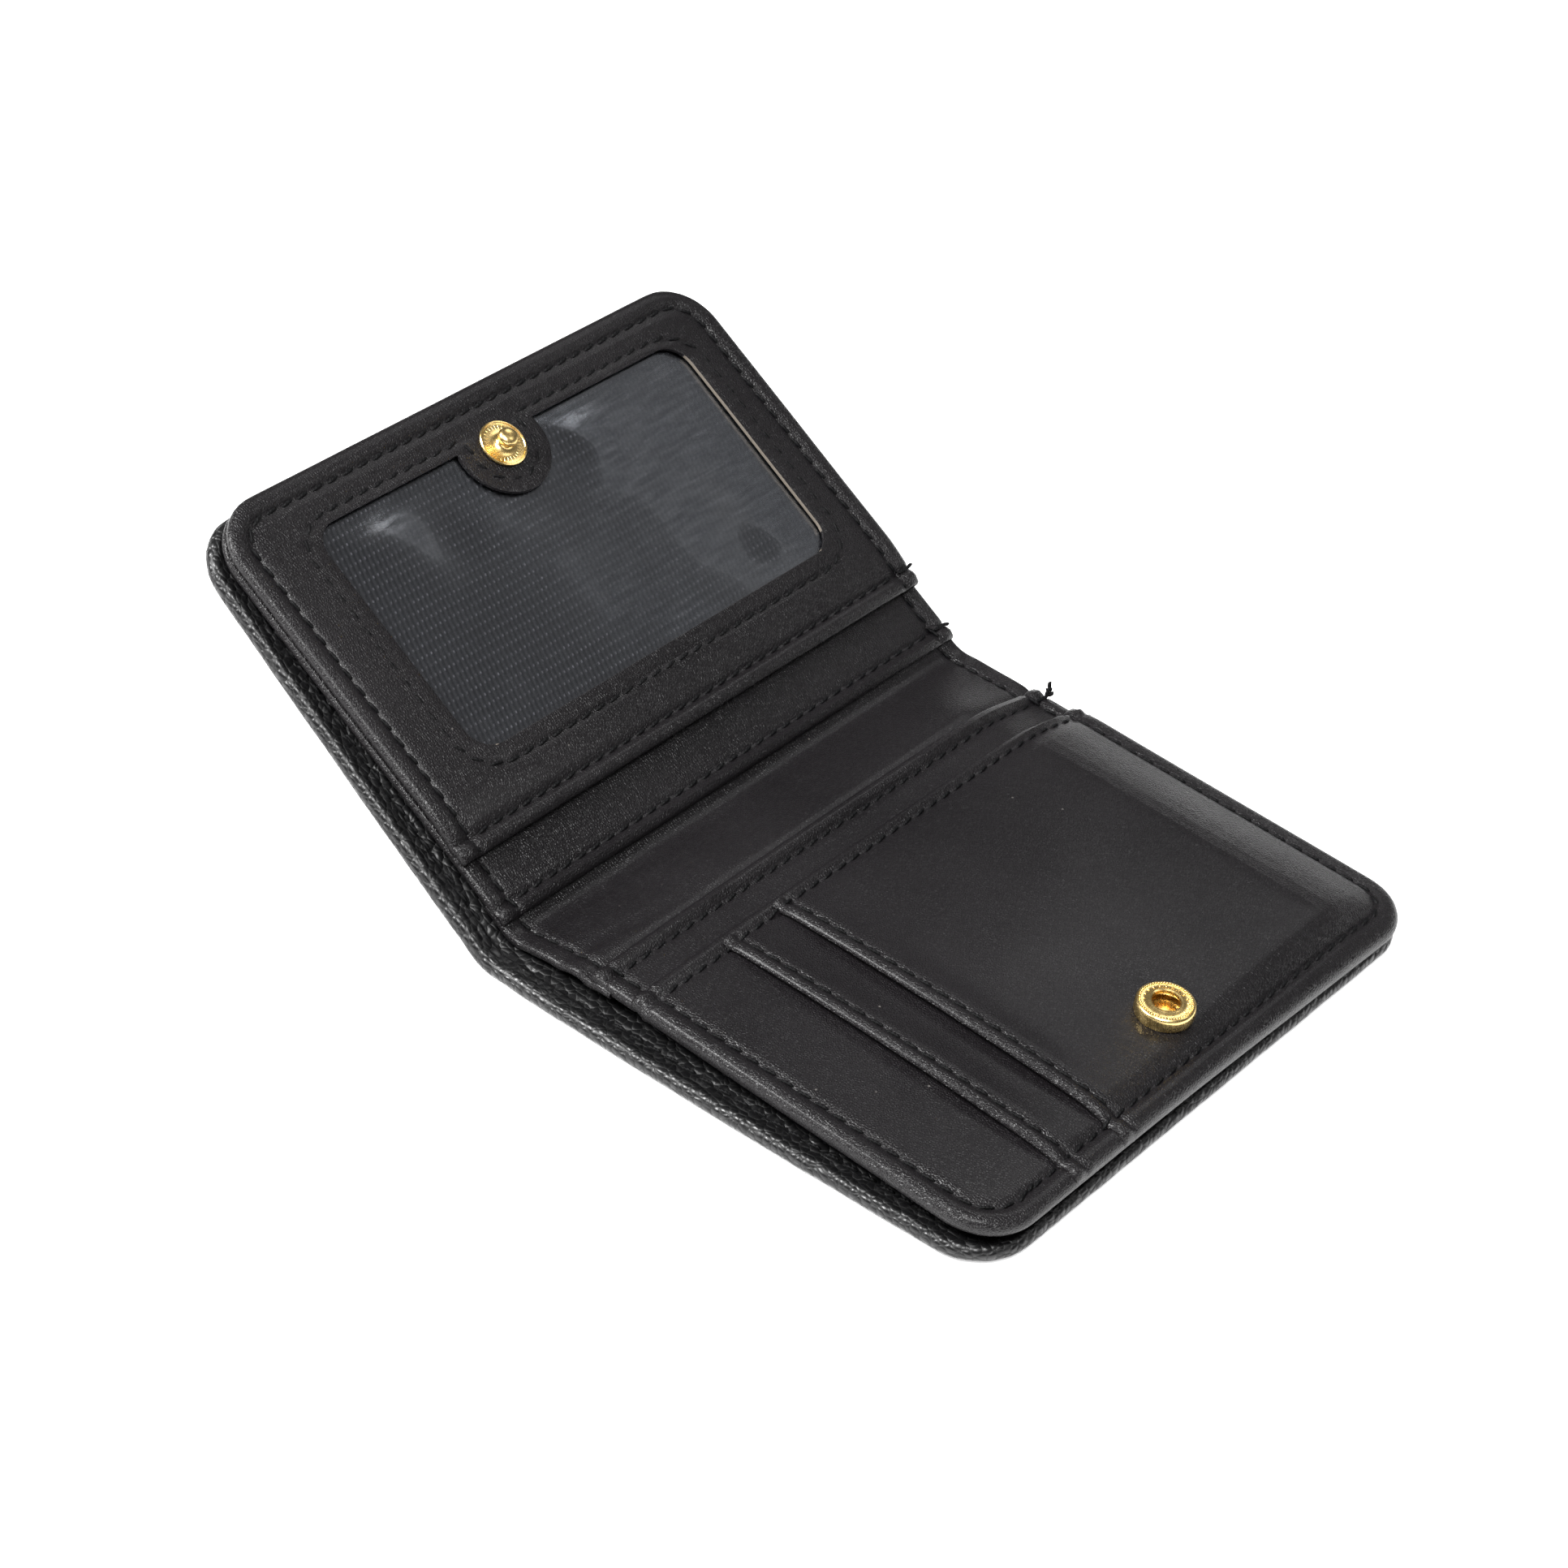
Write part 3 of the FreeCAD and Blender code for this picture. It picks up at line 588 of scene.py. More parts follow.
# how high each layer's face lies, and where its sides are
levels = {key: flatBox(node)[1].z for key, node in {
    "note": "pocket_lining_right", "under": "under_pocket_panel", "a": "card_panel_a", "b": "card_panel_b",
    "c": "card_panel_c", "noteLeft": "pocket_lining_left", "lower": "pocket_panel_left",
    "backing": "window_backing", "film": "window_film", "window": "window_panel"}.items()}
socketRadius = 4.45
spots = {
    "q1": flatBox("under_pocket_panel")[0].x, "q2": flatBox("card_panel_a")[0].x,
    "slotSide": flatBox("card_panel_b")[0].x, "slotB": flatBox("card_panel_b")[0].y,
    "slotC": flatBox("card_panel_c")[0].y, "p2": -flatBox("pocket_panel_left")[1].x,
    "p1": -flatBox("window_panel")[1].x, "snap": flatBox("snap_socket")[1].x - socketRadius,
}
layers = {
    "farDrop": 2.5, "farReach": 17.0, "outerReach": 8.0, "pillow": 0.5, "lip": 1.0,
    "stitchIn": 3.5, "groove": 0.38, "slotStitchIn": 2.6, "pressed": 0.45,
}


def sewn(x, y):
    # how far the right leaf's layers are drawn down towards the sewn far and outer sides
    farShare = smooth((y - (leaf["far"] - layers["farReach"])) / layers["farReach"])
    along = (y - leaf["near"]) / (leaf["far"] - leaf["near"])
    outerShare = smooth((abs(x) - (leaf["outer"] - layers["outerReach"])) / layers["outerReach"])
    outerShare *= 0.08 + 0.9 * smooth((along - 0.3) / 0.7)
    return layers["farDrop"] * (1 - (1 - farShare) * (1 - outerShare))


def press(x, y):
    # the sewn rim presses the card layers closer together
    d = rimDistance(x, y)[0]
    return layers["pressed"] + (1 - layers["pressed"]) * smooth((d - 1.0) / 8.0)


def seamGroove(x, y):
    d = rimDistance(x, y)[0]
    return -layers["groove"] * bump(d - layers["stitchIn"], 0.55) + 0.22 * bump(d - 1.9, 0.9)


def lineGroove(distance, inset=None):
    row = inset or layers["slotStitchIn"]
    return -layers["groove"] * 0.9 * bump(distance - row, 0.5) + 0.4 * bump(distance - row / 2, 0.75)


def midLength(v, low, high):
    t = (v - low) / (high - low)
    return max(0.0, math.sin(math.pi * min(1.0, max(0.0, t)))) ** 0.7


def alongLeaf(y):
    return midLength(y, leaf["near"], leaf["far"])


def undulate(x, y, seed, amount=0.12):
    return amount * wave(x, y, 26.0, seed) + 0.35 * amount * wave(x, y, 9.0, seed + 5)


def underTop(x, y):
    lip = 0.9 * alongLeaf(y) * bump(x - spots["q1"], 2.2)
    return levels["under"] - sewn(x, y) + seamGroove(x, y) + lineGroove(x - spots["q1"]) + lip


def panelTopA(x, y):
    lip = 0.85 * alongLeaf(y) * bump(x - spots["q2"], 2.0)
    return (levels["a"] - sewn(x, y) + seamGroove(x, y) + lineGroove(x - spots["q2"]) + lip
            + undulate(x, y, 3.0, 0.1))


def slotTop(x, y, gap, mouthAt):
    lip = layers["lip"] * midLength(x, spots["slotSide"], leaf["outer"] - 2) * bump(y - mouthAt, 6.0)
    tuck = 0.7 + 0.3 * smooth((x - spots["slotSide"]) / 4.0)
    return (panelTopA(x, y) + gap * press(x, y) * tuck + lip + lineGroove(y - mouthAt)
            - 0.5 * lineGroove(x - spots["q2"]))


def panelTopB(x, y):
    return slotTop(x, y, levels["b"] - levels["a"], spots["slotB"])


def panelTopC(x, y):
    near, far = spots["slotC"] + 4, leaf["far"] - 8
    across = midLength(x, spots["slotSide"] + 3, leaf["outer"] - 4)
    pillow = layers["pillow"] * midLength(y, near, far) * across
    flat = 1 - bump(math.hypot(x - spots["snap"], y), 7.0)
    return slotTop(x, y, levels["c"] - levels["a"], spots["slotC"]) + pillow * flat


def sewnLeft(x, y):
    return 0.4 * smooth((y - (leaf["far"] - 14)) / 14)


def lowerTop(x, y):
    ax = abs(x)
    lip = 0.5 * alongLeaf(y) * bump(ax - spots["p2"], 3.0)
    return (levels["lower"] - sewnLeft(x, y) + seamGroove(x, y) + lineGroove(ax - spots["p2"]) + lip
            + undulate(x, y, 7.0, 0.08))


def windowTop(x, y):
    ax = abs(x)
    hug = -0.9 * (1 - smooth((ax - spots["p1"]) / 9.0))
    lip = 0.6 * alongLeaf(y) * bump(ax - spots["p1"], 3.0)
    row = lineGroove(ax - spots["p1"], window["slotStitchIn"])
    calm = 1 - bump(math.hypot(ax - spots["snap"], y), 6.0)
    return (levels["window"] - sewnLeft(x, y) + seamGroove(x, y) + row + hug + lip
            + windowGroove(x, y) + undulate(x, y, 11.0, 0.1) * calm)


window = {
    "low": -72.15, "high": -30.95, "near": -38.8, "far": 41.6, "corner": 4.5,
    "lap": 4.5, "tab": 8.3, "tabPlace": -spots["snap"],
    "stitchOut": 3.0, "stitchOuter": 1.8, "stitchTab": 2.4, "slotStitchIn": 3.0,
}
window["shoulder"] = math.sqrt(window["tab"] ** 2 - (window["low"] - window["tabPlace"]) ** 2)


def windowOutside(x, y):
    # distance outside the opening, negative in it
    cx, cy = (window["low"] + window["high"]) / 2, (window["near"] + window["far"]) / 2
    r = window["corner"]
    qx = abs(x - cx) - (window["high"] - window["low"]) / 2 + r
    qy = abs(y - cy) - (window["far"] - window["near"]) / 2 + r
    box = math.hypot(max(qx, 0), max(qy, 0)) + min(max(qx, qy), 0) - r
    disc = window["tab"] - math.hypot(x - window["tabPlace"], y)
    return max(box, disc)


def windowGroove(x, y):
    if x < window["low"] - 6:
        return 0.0
    side = smooth((x - window["low"] + window["stitchOuter"]) / 6.0)
    row = window["stitchOuter"] + (window["stitchOut"] - window["stitchOuter"]) * side
    onTab = 1 - smooth((abs(y) - window["shoulder"] + 1.0) / 2.5)
    row += (window["stitchTab"] - row) * onTab
    return -layers["groove"] * 0.8 * bump(windowOutside(x, y) - row, 0.5)


def linerTop(x, y):
    # the soft leather between the leaves, a smooth slope from one side's pocket to the other's
    right, left = levels["note"] - 0.1 - sewn(10.0, y), levels["lower"] - 0.62 - sewnLeft(x, y)
    t = smooth((x + 8.0) / 15.0)
    sag = 0.16 * bump(x + 0.5, 4.0) * (0.75 + 0.25 * alongLeaf(y))
    d = min(y - leaf["near"], leaf["far"] - y)
    gather = 0.4 * bump(x - 3.0 - 0.1 * (y + 50), 1.4) * bump(y + 46, 13.0)
    crease = gather + 0.45 * bump(x - spots["q1"], 1.2)
    return left + (right - left) * t - sag - crease - layers["groove"] * bump(d - layers["stitchIn"], 0.55) \
        + 0.25 * wave(x, y, 14.0, 21.0)


# outer leather: one hide over both leaves, with a padded rim and a turned-in hem

shell = {"rim": 1.3, "middle": 1.15, "bead": 2.5, "valley": 2.02, "ridge": 2.22, "groove": 1.78,
         "stitchIn": 3.8, "hem": 2.0, "floor": 1.2, "bow": 5.4, "bowRight": 0.6, "bowLeft": 1.6, "fold": 6.45}
board = {"outer": 77.65, "near": flatBox("shell_board_right")[0].y,
         "far": flatBox("shell_board_right")[1].y}


def bowed(x, y):
    # the soft hide bows out past the pockets on its open side, most at the spine
    corner = shell["bowLeft"] if x < 0 else shell["bowRight"]
    out = corner + (shell["bow"] - corner) * max(0.0, 1 - (abs(x) / leaf["outer"]) ** 1.3)
    return y - out * smooth((leaf["near"] + 11.5 - y) / 6.0)


def shellInside(x, y, d):
    # the inside face: bead, small ridge, stitch groove, hem, then the step down under the board
    if d < shell["rim"]:
        t = 1 - d / shell["rim"]
        return shell["middle"] + (shell["bead"] - shell["middle"]) * math.sqrt(max(0.0, 1 - t * t))
    valley = shell["valley"]
    z = valley + (shell["bead"] - valley) * math.cos(min(1.0, (d - shell["rim"]) / 1.2) * math.pi / 2)
    z += (shell["ridge"] - valley) * bump(d - 3.1, 0.35)
    z -= (valley - shell["groove"]) * bump(d - shell["stitchIn"], 0.4)
    z += (shell["hem"] - valley) * smooth((d - 4.3) / 1.0)
    deep = min(board["outer"] - abs(x), y - board["near"], board["far"] - y)
    if deep > -0.02:
        z = shell["hem"] + (shell["floor"] - shell["hem"]) * smooth(deep / 0.15)
    return z


def outerLeather(name, side):
    rimSteps = [shell["rim"] * (1 - math.cos(k * math.pi / 14)) for k in range(8)]
    body = [leaf["outer"] - d for d in rimSteps]
    closeX = [leaf["outer"] - 3.4, board["outer"]]
    xs = cuts(0.0, leaf["outer"] - shell["rim"], closeX + [shell["fold"]], 0.4, 1.5, 8)
    xs = sorted(set(xs[:-1] + body + [board["outer"], board["outer"] - 0.15]))
    inside = cuts(leaf["near"] + shell["rim"], leaf["far"] - shell["rim"],
                  [leaf["near"] + 3.4, leaf["far"] - 3.4], 0.4, 1.5, 8)
    ys = [leaf["near"] + d for d in rimSteps] + inside[1:-1] + [leaf["far"] - d for d in reversed(rimSteps)]
    ys = sorted(set(ys + [board["near"], board["near"] + 0.15, board["far"], board["far"] - 0.15]))
    piece = newGrid(name, sided(xs, side), ys)
    for v in piece.data.vertices:
        x, y = roundOff(v.co.x, v.co.y, 0.0)
        v.co = (x, y, 0)
    useModifier(piece, "SOLIDIFY", thickness=1.0, offset=-1.0)
    for v in piece.data.vertices:
        x, y, upper = v.co.x, v.co.y, v.co.z > -0.5
        d, out = rimDistance(x, y)
        d = max(0.0, d)
        if upper:
            z = shellInside(x, y, d)
        else:
            t = max(0.0, 1 - d / shell["rim"])
            z = shell["middle"] * (1 - math.sqrt(max(0.0, 1 - t * t)))
        if d < 4:
            ripple = 0.14 * wave(x, y, 2.4, 31.0) + 0.1 * wave(x, y, 7.0, 37.0)
            lift = ripple * 0.5 if upper and d > 0.05 else 0
            v.co = Vector((x, y, z)) + out * (ripple * 0.6 * (1 - d / 4)) + Vector((0, 0, lift))
        else:
            v.co = (x, y, z + (0.05 * wave(x, y, 3.0, 31.0) if upper else 0))
        v.co.z = max(0.0, v.co.z)
        v.co.y = bowed(x, v.co.y)
    mergePoints(piece, 0.004)
    place(piece, "bend")
    return finishMesh(piece, 60)


def bendOver(piece, side):
    # a half of a piece that crosses the spine: its transform is baked into its mesh, on either side alike
    if side == "right":
        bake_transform(piece)
    else:
        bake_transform(piece)


def dressHalf(piece, side, slotName, *nodes):
    # a half that bends over its fold, with its finish and the CAD nodes that it stands for
    dress(piece, slotName)
    if nodes:
        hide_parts(*nodes)
    bendOver(piece, side)


dressHalf(outerLeather("outerLeatherRight", "right"), "right", "grained_leather",
          "outer_shell_right", "outer_shell_spine")
dressHalf(outerLeather("outerLeatherLeft", "left"), "left", "grained_leather", "outer_shell_left")
print("outer leather made")


def floorTop(x, y):
    # the note compartment's lining, lifted onto the boards beyond each fold
    return 1.62 + 0.8 * smooth((abs(x) - 3.4) / 3.0) + 0.04 * wave(x, y, 12.0, 41.0)


lined = {"outer": 77.85, "near": flatBox("shell_lining_right")[0].y,
         "far": flatBox("shell_lining_right")[1].y}
floorNodes = {"right": ("shell_lining_right", "shell_lining_spine"), "left": ("shell_lining_left",)}
floors = {}
for side, nodes in floorNodes.items():
    floors[side] = plainSheet("noteFloor" + side.title(), side, 0.0, lined["outer"],
                              lined["near"], lined["far"], floorTop, 0.4, "bend")
    dressHalf(floors[side], side, "lining", *nodes)

# right leaf: note pocket roof, under pocket and three card panels
roof = {"inner": 12.8, "inset": 2.2, "thick": 0.35}
slot = {"side": 1.5, "mouth": 1.6, "rim": 2.4, "thick": 0.2}


def pocketRoof(name, side, top, turn, node):
    piece = plainSheet(name, side, roof["inner"], leaf["outer"] - roof["inset"], leaf["near"] + roof["inset"],
                       leaf["far"] - roof["inset"], top, roof["thick"], turn)
    wear(piece, side + "_leaf", "lining", node)
    return piece


pocketRoofRight = pocketRoof("pocketRoofRight", "right", lambda x, y: levels["note"] - sewn(x, y), None,
                             "pocket_lining_right")
curledSheet("underPocket", "under_pocket_panel", "right", spots["q1"], underTop, 0.55, 1.05, (0.42, 3.0),
            inset=0.25, keepRoll=spots["q2"] + 0.7, close=(spots["q2"],))
curledSheet("cardPanelA", "card_panel_a", "right", spots["q2"], panelTopA, 0.6, 1.5, (0.45, 3.0))


def slotLining(name, mouthAt, gap, node):
    piece = plainSheet(name, "right", spots["slotSide"] + slot["side"], leaf["outer"] - slot["rim"],
                       mouthAt + slot["mouth"], leaf["far"] - slot["rim"],
                       lambda x, y: panelTopA(x, y) + gap * press(x, y) - 0.62, slot["thick"])
    wear(piece, "right_leaf", "lining", node)
    return piece


slotLiningB = slotLining("slotLiningB", spots["slotB"], levels["b"] - levels["a"], "slot_lining_b")
slotLiningC = slotLining("slotLiningC", spots["slotC"], levels["c"] - levels["a"], "slot_lining_c")
curledSheet("cardPanelB", "card_panel_b", "right", spots["slotSide"], panelTopB, 0.5, 1.5, (0.5, 3.5),
            mouthY=spots["slotB"], close=(spots["slotSide"] + 1.1,))
curledSheet("cardPanelC", "card_panel_c", "right", spots["slotSide"], panelTopC, 0.5, 1.7, (0.5, 3.5),
            inset=-0.12, mouthY=spots["slotC"], close=(spots["slotSide"] + 1.1,))
print("right leaf made")

# left leaf: note pocket roof, lower pocket, backing, film and window panel
pocketRoofLeft = pocketRoof("pocketRoofLeft", "left", lambda x, y: levels["noteLeft"] - sewnLeft(x, y) - 0.03,
                            "left", "pocket_lining_left")
curledSheet("lowerPocket", "pocket_panel_left", "left", spots["p2"], lowerTop, 0.5, 0.72, (0.42, 3.0),
            inset=0.1, close=(spots["p1"],))
slotLiningLeft = plainSheet("slotLiningLeft", "left", spots["p1"] + slot["side"], leaf["outer"] - slot["rim"],
                            leaf["near"] + slot["rim"], leaf["far"] - slot["rim"],
                            lambda x, y: lowerTop(x, y) + 0.24, slot["thick"], "left")
wear(slotLiningLeft, "left_leaf", "lining", "slot_lining_left")


def backingTop(x, y):
    return levels["backing"] + 0.12 + 0.12 * wave(x, y, 18.0, 51.0) - sewnLeft(x, y) * 0.4


def behindWindow(name, top, thick, step, slotName, node):
    # a sheet that lies under the window panel, past the opening all round
    lap = window["lap"]
    piece = plainSheet(name, "left", -window["high"] - lap, -window["low"] + lap, window["near"] - lap,
                       window["far"] + lap, top, thick, "left", step, False)
    wear(piece, "left_leaf", slotName, node)
    return piece


windowBacking = behindWindow("windowBacking", backingTop, 0.3, 1.6, "woven_backing", "window_backing")
film = {"swells": ((-66.0, -28.0, 0.36, 7.0), (-60.0, -19.0, -0.2, 5.0), (-68.0, 15.0, 0.25, 5.0),
                   (-36.0, 34.0, 0.25, 5.0))}  # each at x, y with its height and half width


def filmTop(x, y):
    inside = smooth((-windowOutside(x, y) + 1.0) / 10.0)
    billow = 0.2 * wave(x, y, 24.0, 61.0)
    for bx, by, tall, wide in film["swells"]:
        billow += tall * bump(math.hypot(x - bx, y - by), wide)
    return levels["film"] + 0.02 - sewnLeft(x, y) * 0.9 + (0.12 + billow) * inside


windowFilm = behindWindow("windowFilm", filmTop, 0.12, 1.1, "clear_film", "window_film")
besideWindow = (-window["high"] - window["stitchOut"], -window["high"], -window["low"])
windowPanel = curledSheet("windowPanel", "window_panel", "left", spots["p1"], windowTop, 0.6, 0.85,
                          (0.45, 3.0), close=besideWindow, cutout=window)
windowPanel.data.materials.append(rawEdge)
for face in windowPanel.data.polygons:
    middle = turned(face.center / mm, -1.0)
    cutSide = middle.y > window["far"] - 0.5 or middle.x > window["high"] - 0.5
    if cutSide and windowOutside(middle.x, middle.y) < 0.1:
        face.material_index = 1
print("left leaf made")

# spine liner, in two halves
liner = {"roll": 0.72, "reach": 12.4, "thick": 0.42}
for side in ("right", "left"):
    roll = liner["roll"]
    grow = roll * (math.pi - 1)
    xs = sided(cuts(0.0, liner["reach"], [0.0, 6.0, 12.0], 0.5, 0.6, 4), side)
    closeY = [leaf["near"], leaf["far"], leaf["near"] + layers["stitchIn"], leaf["far"] - layers["stitchIn"]]
    ys = cuts(leaf["near"] - grow, leaf["far"] + grow, closeY, 0.3, 1.4, 6)
    piece = newGrid("spineLiner" + side.title(), xs, ys)
    for v in piece.data.vertices:
        x, y = v.co.x, v.co.y
        way = -1 if y < 0 else 1
        s = roll - min(y - leaf["near"], leaf["far"] - y)
        if s > 0:
            foot = y - way * s
            drop = roll * (1 - math.cos(s / roll))
            v.co = (x, foot + way * roll * math.sin(s / roll), linerTop(x, foot) - drop)
        else:
            v.co = (x, y, linerTop(x, y))
    useModifier(piece, "SOLIDIFY", thickness=liner["thick"], offset=-1.0)
    place(piece, "bend")
    finishMesh(piece)
    dressHalf(piece, side, "smooth_leather", *(["inner_liner_spine"] if side == "right" else []))
print("spine liner made")

# stitches
stitch = {"pitch": 3.1, "gap": 0.7, "radius": 0.27, "sink": 0.04, "slant": 9.0}


def oneStitch():
    # a short length of twisted thread that dips into its holes at both ends
    piece = added(bpy.ops.mesh.primitive_uv_sphere_add, segments=8, ring_count=7, radius=1)
    for v in piece.data.vertices:
        x, y, z = v.co.z, v.co.x, v.co.y
        full = math.sqrt(max(0.0, 1 - x * x))
        plump = max(0.0, 1 - abs(x) ** 4) ** 0.5
        k = plump / full if full > 1e-4 else 0.0
        v.co = (x, y * k, z * k - 0.9 * abs(x) ** 5)
    return piece


stitchShape = oneStitch()


def walk(line):
    # evenly spaced stitch middles along a line of flat points, with their directions
    lengths = [math.dist(a, b) for a, b in zip(line, line[1:])]
    total = sum(lengths)
    count = max(1, round(total / stitch["pitch"]))
    out = []
    for k in range(count):
        at = (k + 0.5) / count * total
        for a, b, long in zip(line, line[1:], lengths):
            if at <= long:
                t = at / long
                out.append(((a[0] + (b[0] - a[0]) * t, a[1] + (b[1] - a[1]) * t),
                            ((b[0] - a[0]) / long, (b[1] - a[1]) / long)))
                break
            at -= long
    return out, total / count


def putIn(bm, shape, matrix):
    # one more copy of a small shape
    have = len(bm.verts)
    bm.from_mesh(shape.data)
    bm.verts.ensure_lookup_table()
    bmesh.ops.transform(bm, matrix=matrix, verts=bm.verts[have:])


def putThread(bm, middle, along, across, half, radius):
    up = along.cross(across)
    m = Matrix.Identity(4)
    for r in range(3):
        m[r][:] = along[r] * half, across[r] * radius, up[r] * radius, middle[r]
    putIn(bm, stitchShape, m)


def threadPiece(name, bm, turn):
    mesh = bpy.data.meshes.new(name)
    bm.to_mesh(mesh)
    bm.free()
    piece = bpy.data.objects.new(name, mesh)
    scene.collection.objects.link(piece)
    place(piece, turn)
    for face in mesh.polygons:
        face.use_smooth = True
    return piece


def stitchRow(name, lines, top, turn=None, shift=None):
    bm = bmesh.new()
    for n, line in enumerate(lines):
        middles, pitch = walk(line)
        half = (pitch - stitch["gap"]) / 2
        for (x, y), (dx, dy) in middles:
            jitter = 0.06 * wave(x * 9.1, y * 7.3, 1.0, 71.0 + n)
            slant = math.radians(stitch["slant"] * (1 + 0.5 * wave(x * 3.3, y * 5.1, 1.0, 81.0)))
            tx = (dx * math.cos(slant) - dy * math.sin(slant)) * half
            ty = (dx * math.sin(slant) + dy * math.cos(slant)) * half
            a = Vector((x - tx, y - ty, top(x - tx, y - ty)))
            b = Vector((x + tx, y + ty, top(x + tx, y + ty)))
            middle = Vector((x, y, (a.z + b.z) / 2 + stitch["radius"] * 0.62 - stitch["sink"]))
            middle += Vector((-dy, dx, 0)) * jitter
            along = (b - a).normalized()
            across = Vector((0, 0, 1)).cross(along).normalized()
            putThread(bm, middle, along, across, half, stitch["radius"])
    if shift:
        for v in bm.verts:
            v.co.y = shift(v.co.x, v.co.y)
    return threadPiece(name, bm, turn)


def rimLine(inset, start, sign):
    # from the spine along the near side, round the outer side and back along the far side
    r = leaf["corner"] - inset
    x1, y0, y1 = leaf["outer"] - inset, leaf["near"] + inset, leaf["far"] - inset
    quarter = [k * math.pi / 16 for k in range(9)]
    out = [(start, y0)]
    out += [(x1 - r + r * math.sin(a), y0 + r - r * math.cos(a)) for a in quarter]
    out += [(x1 - r + r * math.cos(a), y1 - r + r * math.sin(a)) for a in quarter]
    out += [(start, y1)]
    return [(sign * x, y) for x, y in out]


def topRight(x, y):
    if x < spots["q1"] + 0.1:
        return linerTop(x, y)
    if x < spots["q2"] + 0.1:
        return underTop(x, y)
    if x > spots["slotSide"] and y > spots["slotC"]:
        return panelTopC(x, y)
    if x > spots["slotSide"] and y > spots["slotB"]:
        return panelTopB(x, y)
    return panelTopA(x, y)


def topLeft(x, y):
    return windowTop(x, y) if abs(x) > spots["p1"] + 0.1 else lowerTop(x, y)


def seam(name, node, lines, top, side, shift=None):
    piece = stitchRow(name, lines, top, "left" if side == "left" else None, shift)
    wear(piece, side + "_leaf", "thread", node)


rowNear, rowFar = leaf["near"] + layers["stitchIn"], leaf["far"] - layers["stitchIn"]
rowOuter, pastEdge = leaf["outer"] - layers["stitchIn"], 0.8
seam("edgeStitchesRight", "edge_seam_right", [rimLine(layers["stitchIn"], spots["q1"] + pastEdge, 1)],
     topRight, "right")
seam("edgeStitchesLeft", "edge_seam_left", [rimLine(layers["stitchIn"], spots["p2"] + pastEdge, -1)],
     topLeft, "left")
for side, sign in (("right", 1), ("left", -1)):
    rows = [[(0.1 * sign, y), (sign * 8.2, y)] for y in (rowNear, rowFar)]
    dressHalf(stitchRow("spineStitches" + side.title(), rows, linerTop, "bend"), side, "thread",
              *(["edge_seam_spine"] if side == "right" else []))
slotIn = layers["slotStitchIn"]
rows = {"q1": spots["q1"] + slotIn, "q2": spots["q2"] + slotIn, "b": spots["slotB"] + slotIn,
        "c": spots["slotC"] + slotIn, "p2": -spots["p2"] - slotIn,
        "p1": -spots["p1"] - window["slotStitchIn"]}


def upright(x):
    return [(x, rowNear + 1.2), (x, rowFar - 1.2)]


seam("slotStitchesRight", "slot_seams_right", [
    upright(rows["q1"]), upright(rows["q2"]),
    [(rows["q2"] + 1.5, rows["b"]), (rowOuter - 1.5, rows["b"])],
    [(rows["q2"] + 1.5, rows["c"]), (rowOuter - 1.5, rows["c"])],
    [(rowOuter - 0.4, spots["slotB"] - 4.5), (rowOuter + 0.5, spots["slotB"] - 9.5)],
], topRight, "right")
seam("slotStitchesLeft", "slot_seams_left", [upright(rows["p2"]), upright(rows["p1"])], topLeft, "left")


def windowLine():
    # round the opening, closer to it on the outer side, and round the tab
    w, side = window["stitchOut"], window["stitchOuter"]
    r, rSide = window["corner"] + w, window["corner"] + side
    x0, x1 = window["low"] - side, window["high"] + w
    y0, y1 = window["near"] - w, window["far"] + w
    quarter = [k * math.pi / 12 for k in range(7)]
    out = [(x0 + rSide - rSide * math.cos(a), y0 + r - r * math.sin(a)) for a in quarter]
    out += [(x1 - r + r * math.sin(a), y0 + r - r * math.cos(a)) for a in quarter]
    out += [(x1 - r + r * math.cos(a), y1 - r + r * math.sin(a)) for a in quarter]
    out += [(x0 + rSide - rSide * math.sin(a), y1 - r + r * math.cos(a)) for a in quarter]
    rise = window["shoulder"]
    meet = math.atan2(rise, window["low"] - window["tabPlace"])
    shoulder = []
    for k in range(9):
        a, reach = math.pi + meet * k / 8, side + (window["stitchTab"] - side) * k / 8
        shoulder.append((window["low"] + reach * math.cos(a), rise + reach * math.sin(a)))
    nose = window["tab"] - window["stitchTab"]
    arc = [meet * (1 - k / 8) for k in range(1, 16)]
    out += shoulder
    out += [(window["tabPlace"] + nose * math.cos(a), nose * math.sin(a)) for a in arc]
    out += [(x, -y) for x, y in reversed(shoulder)]
    return out + [out[0]]


seam("windowStitches", "window_seam", [windowLine()], windowTop, "left")


def shellTop(x, y):
    return shellInside(x, y, rimDistance(x, y)[0])


hemIn, hemOut = 11.0, leaf["outer"] - 8.5
hemRow = leaf["near"] + shell["stitchIn"]
seam("hemStitchesRight", "hem_seam_right", [[(hemOut, hemRow), (hemIn, hemRow)]], shellTop, "right", bowed)
seam("hemStitchesLeft", "hem_seam_left", [[(-hemOut, hemRow), (-hemIn, hemRow)]], shellTop, "left", bowed)


def threadEnds(name, tufts, radius, turn, body):
    # loose ends at the far side: each tuft is its place and the ends' offsets from it
    bm = bmesh.new()
    for (x, z), ends in tufts:
        for end in ends:
            a, b = (Vector((x + dx, leaf["far"] + dy, z + dz)) for dx, dy, dz in end)
            along = (b - a).normalized()
            across = along.cross(Vector((0.31, 0.2, 0.93))).normalized()
            middle = [(p + q) / 2 for p, q in zip(a, b)]
            putThread(bm, middle, along, across, (b - a).length / 2, radius)
    wear(threadPiece(name, bm, turn), body, "thread")


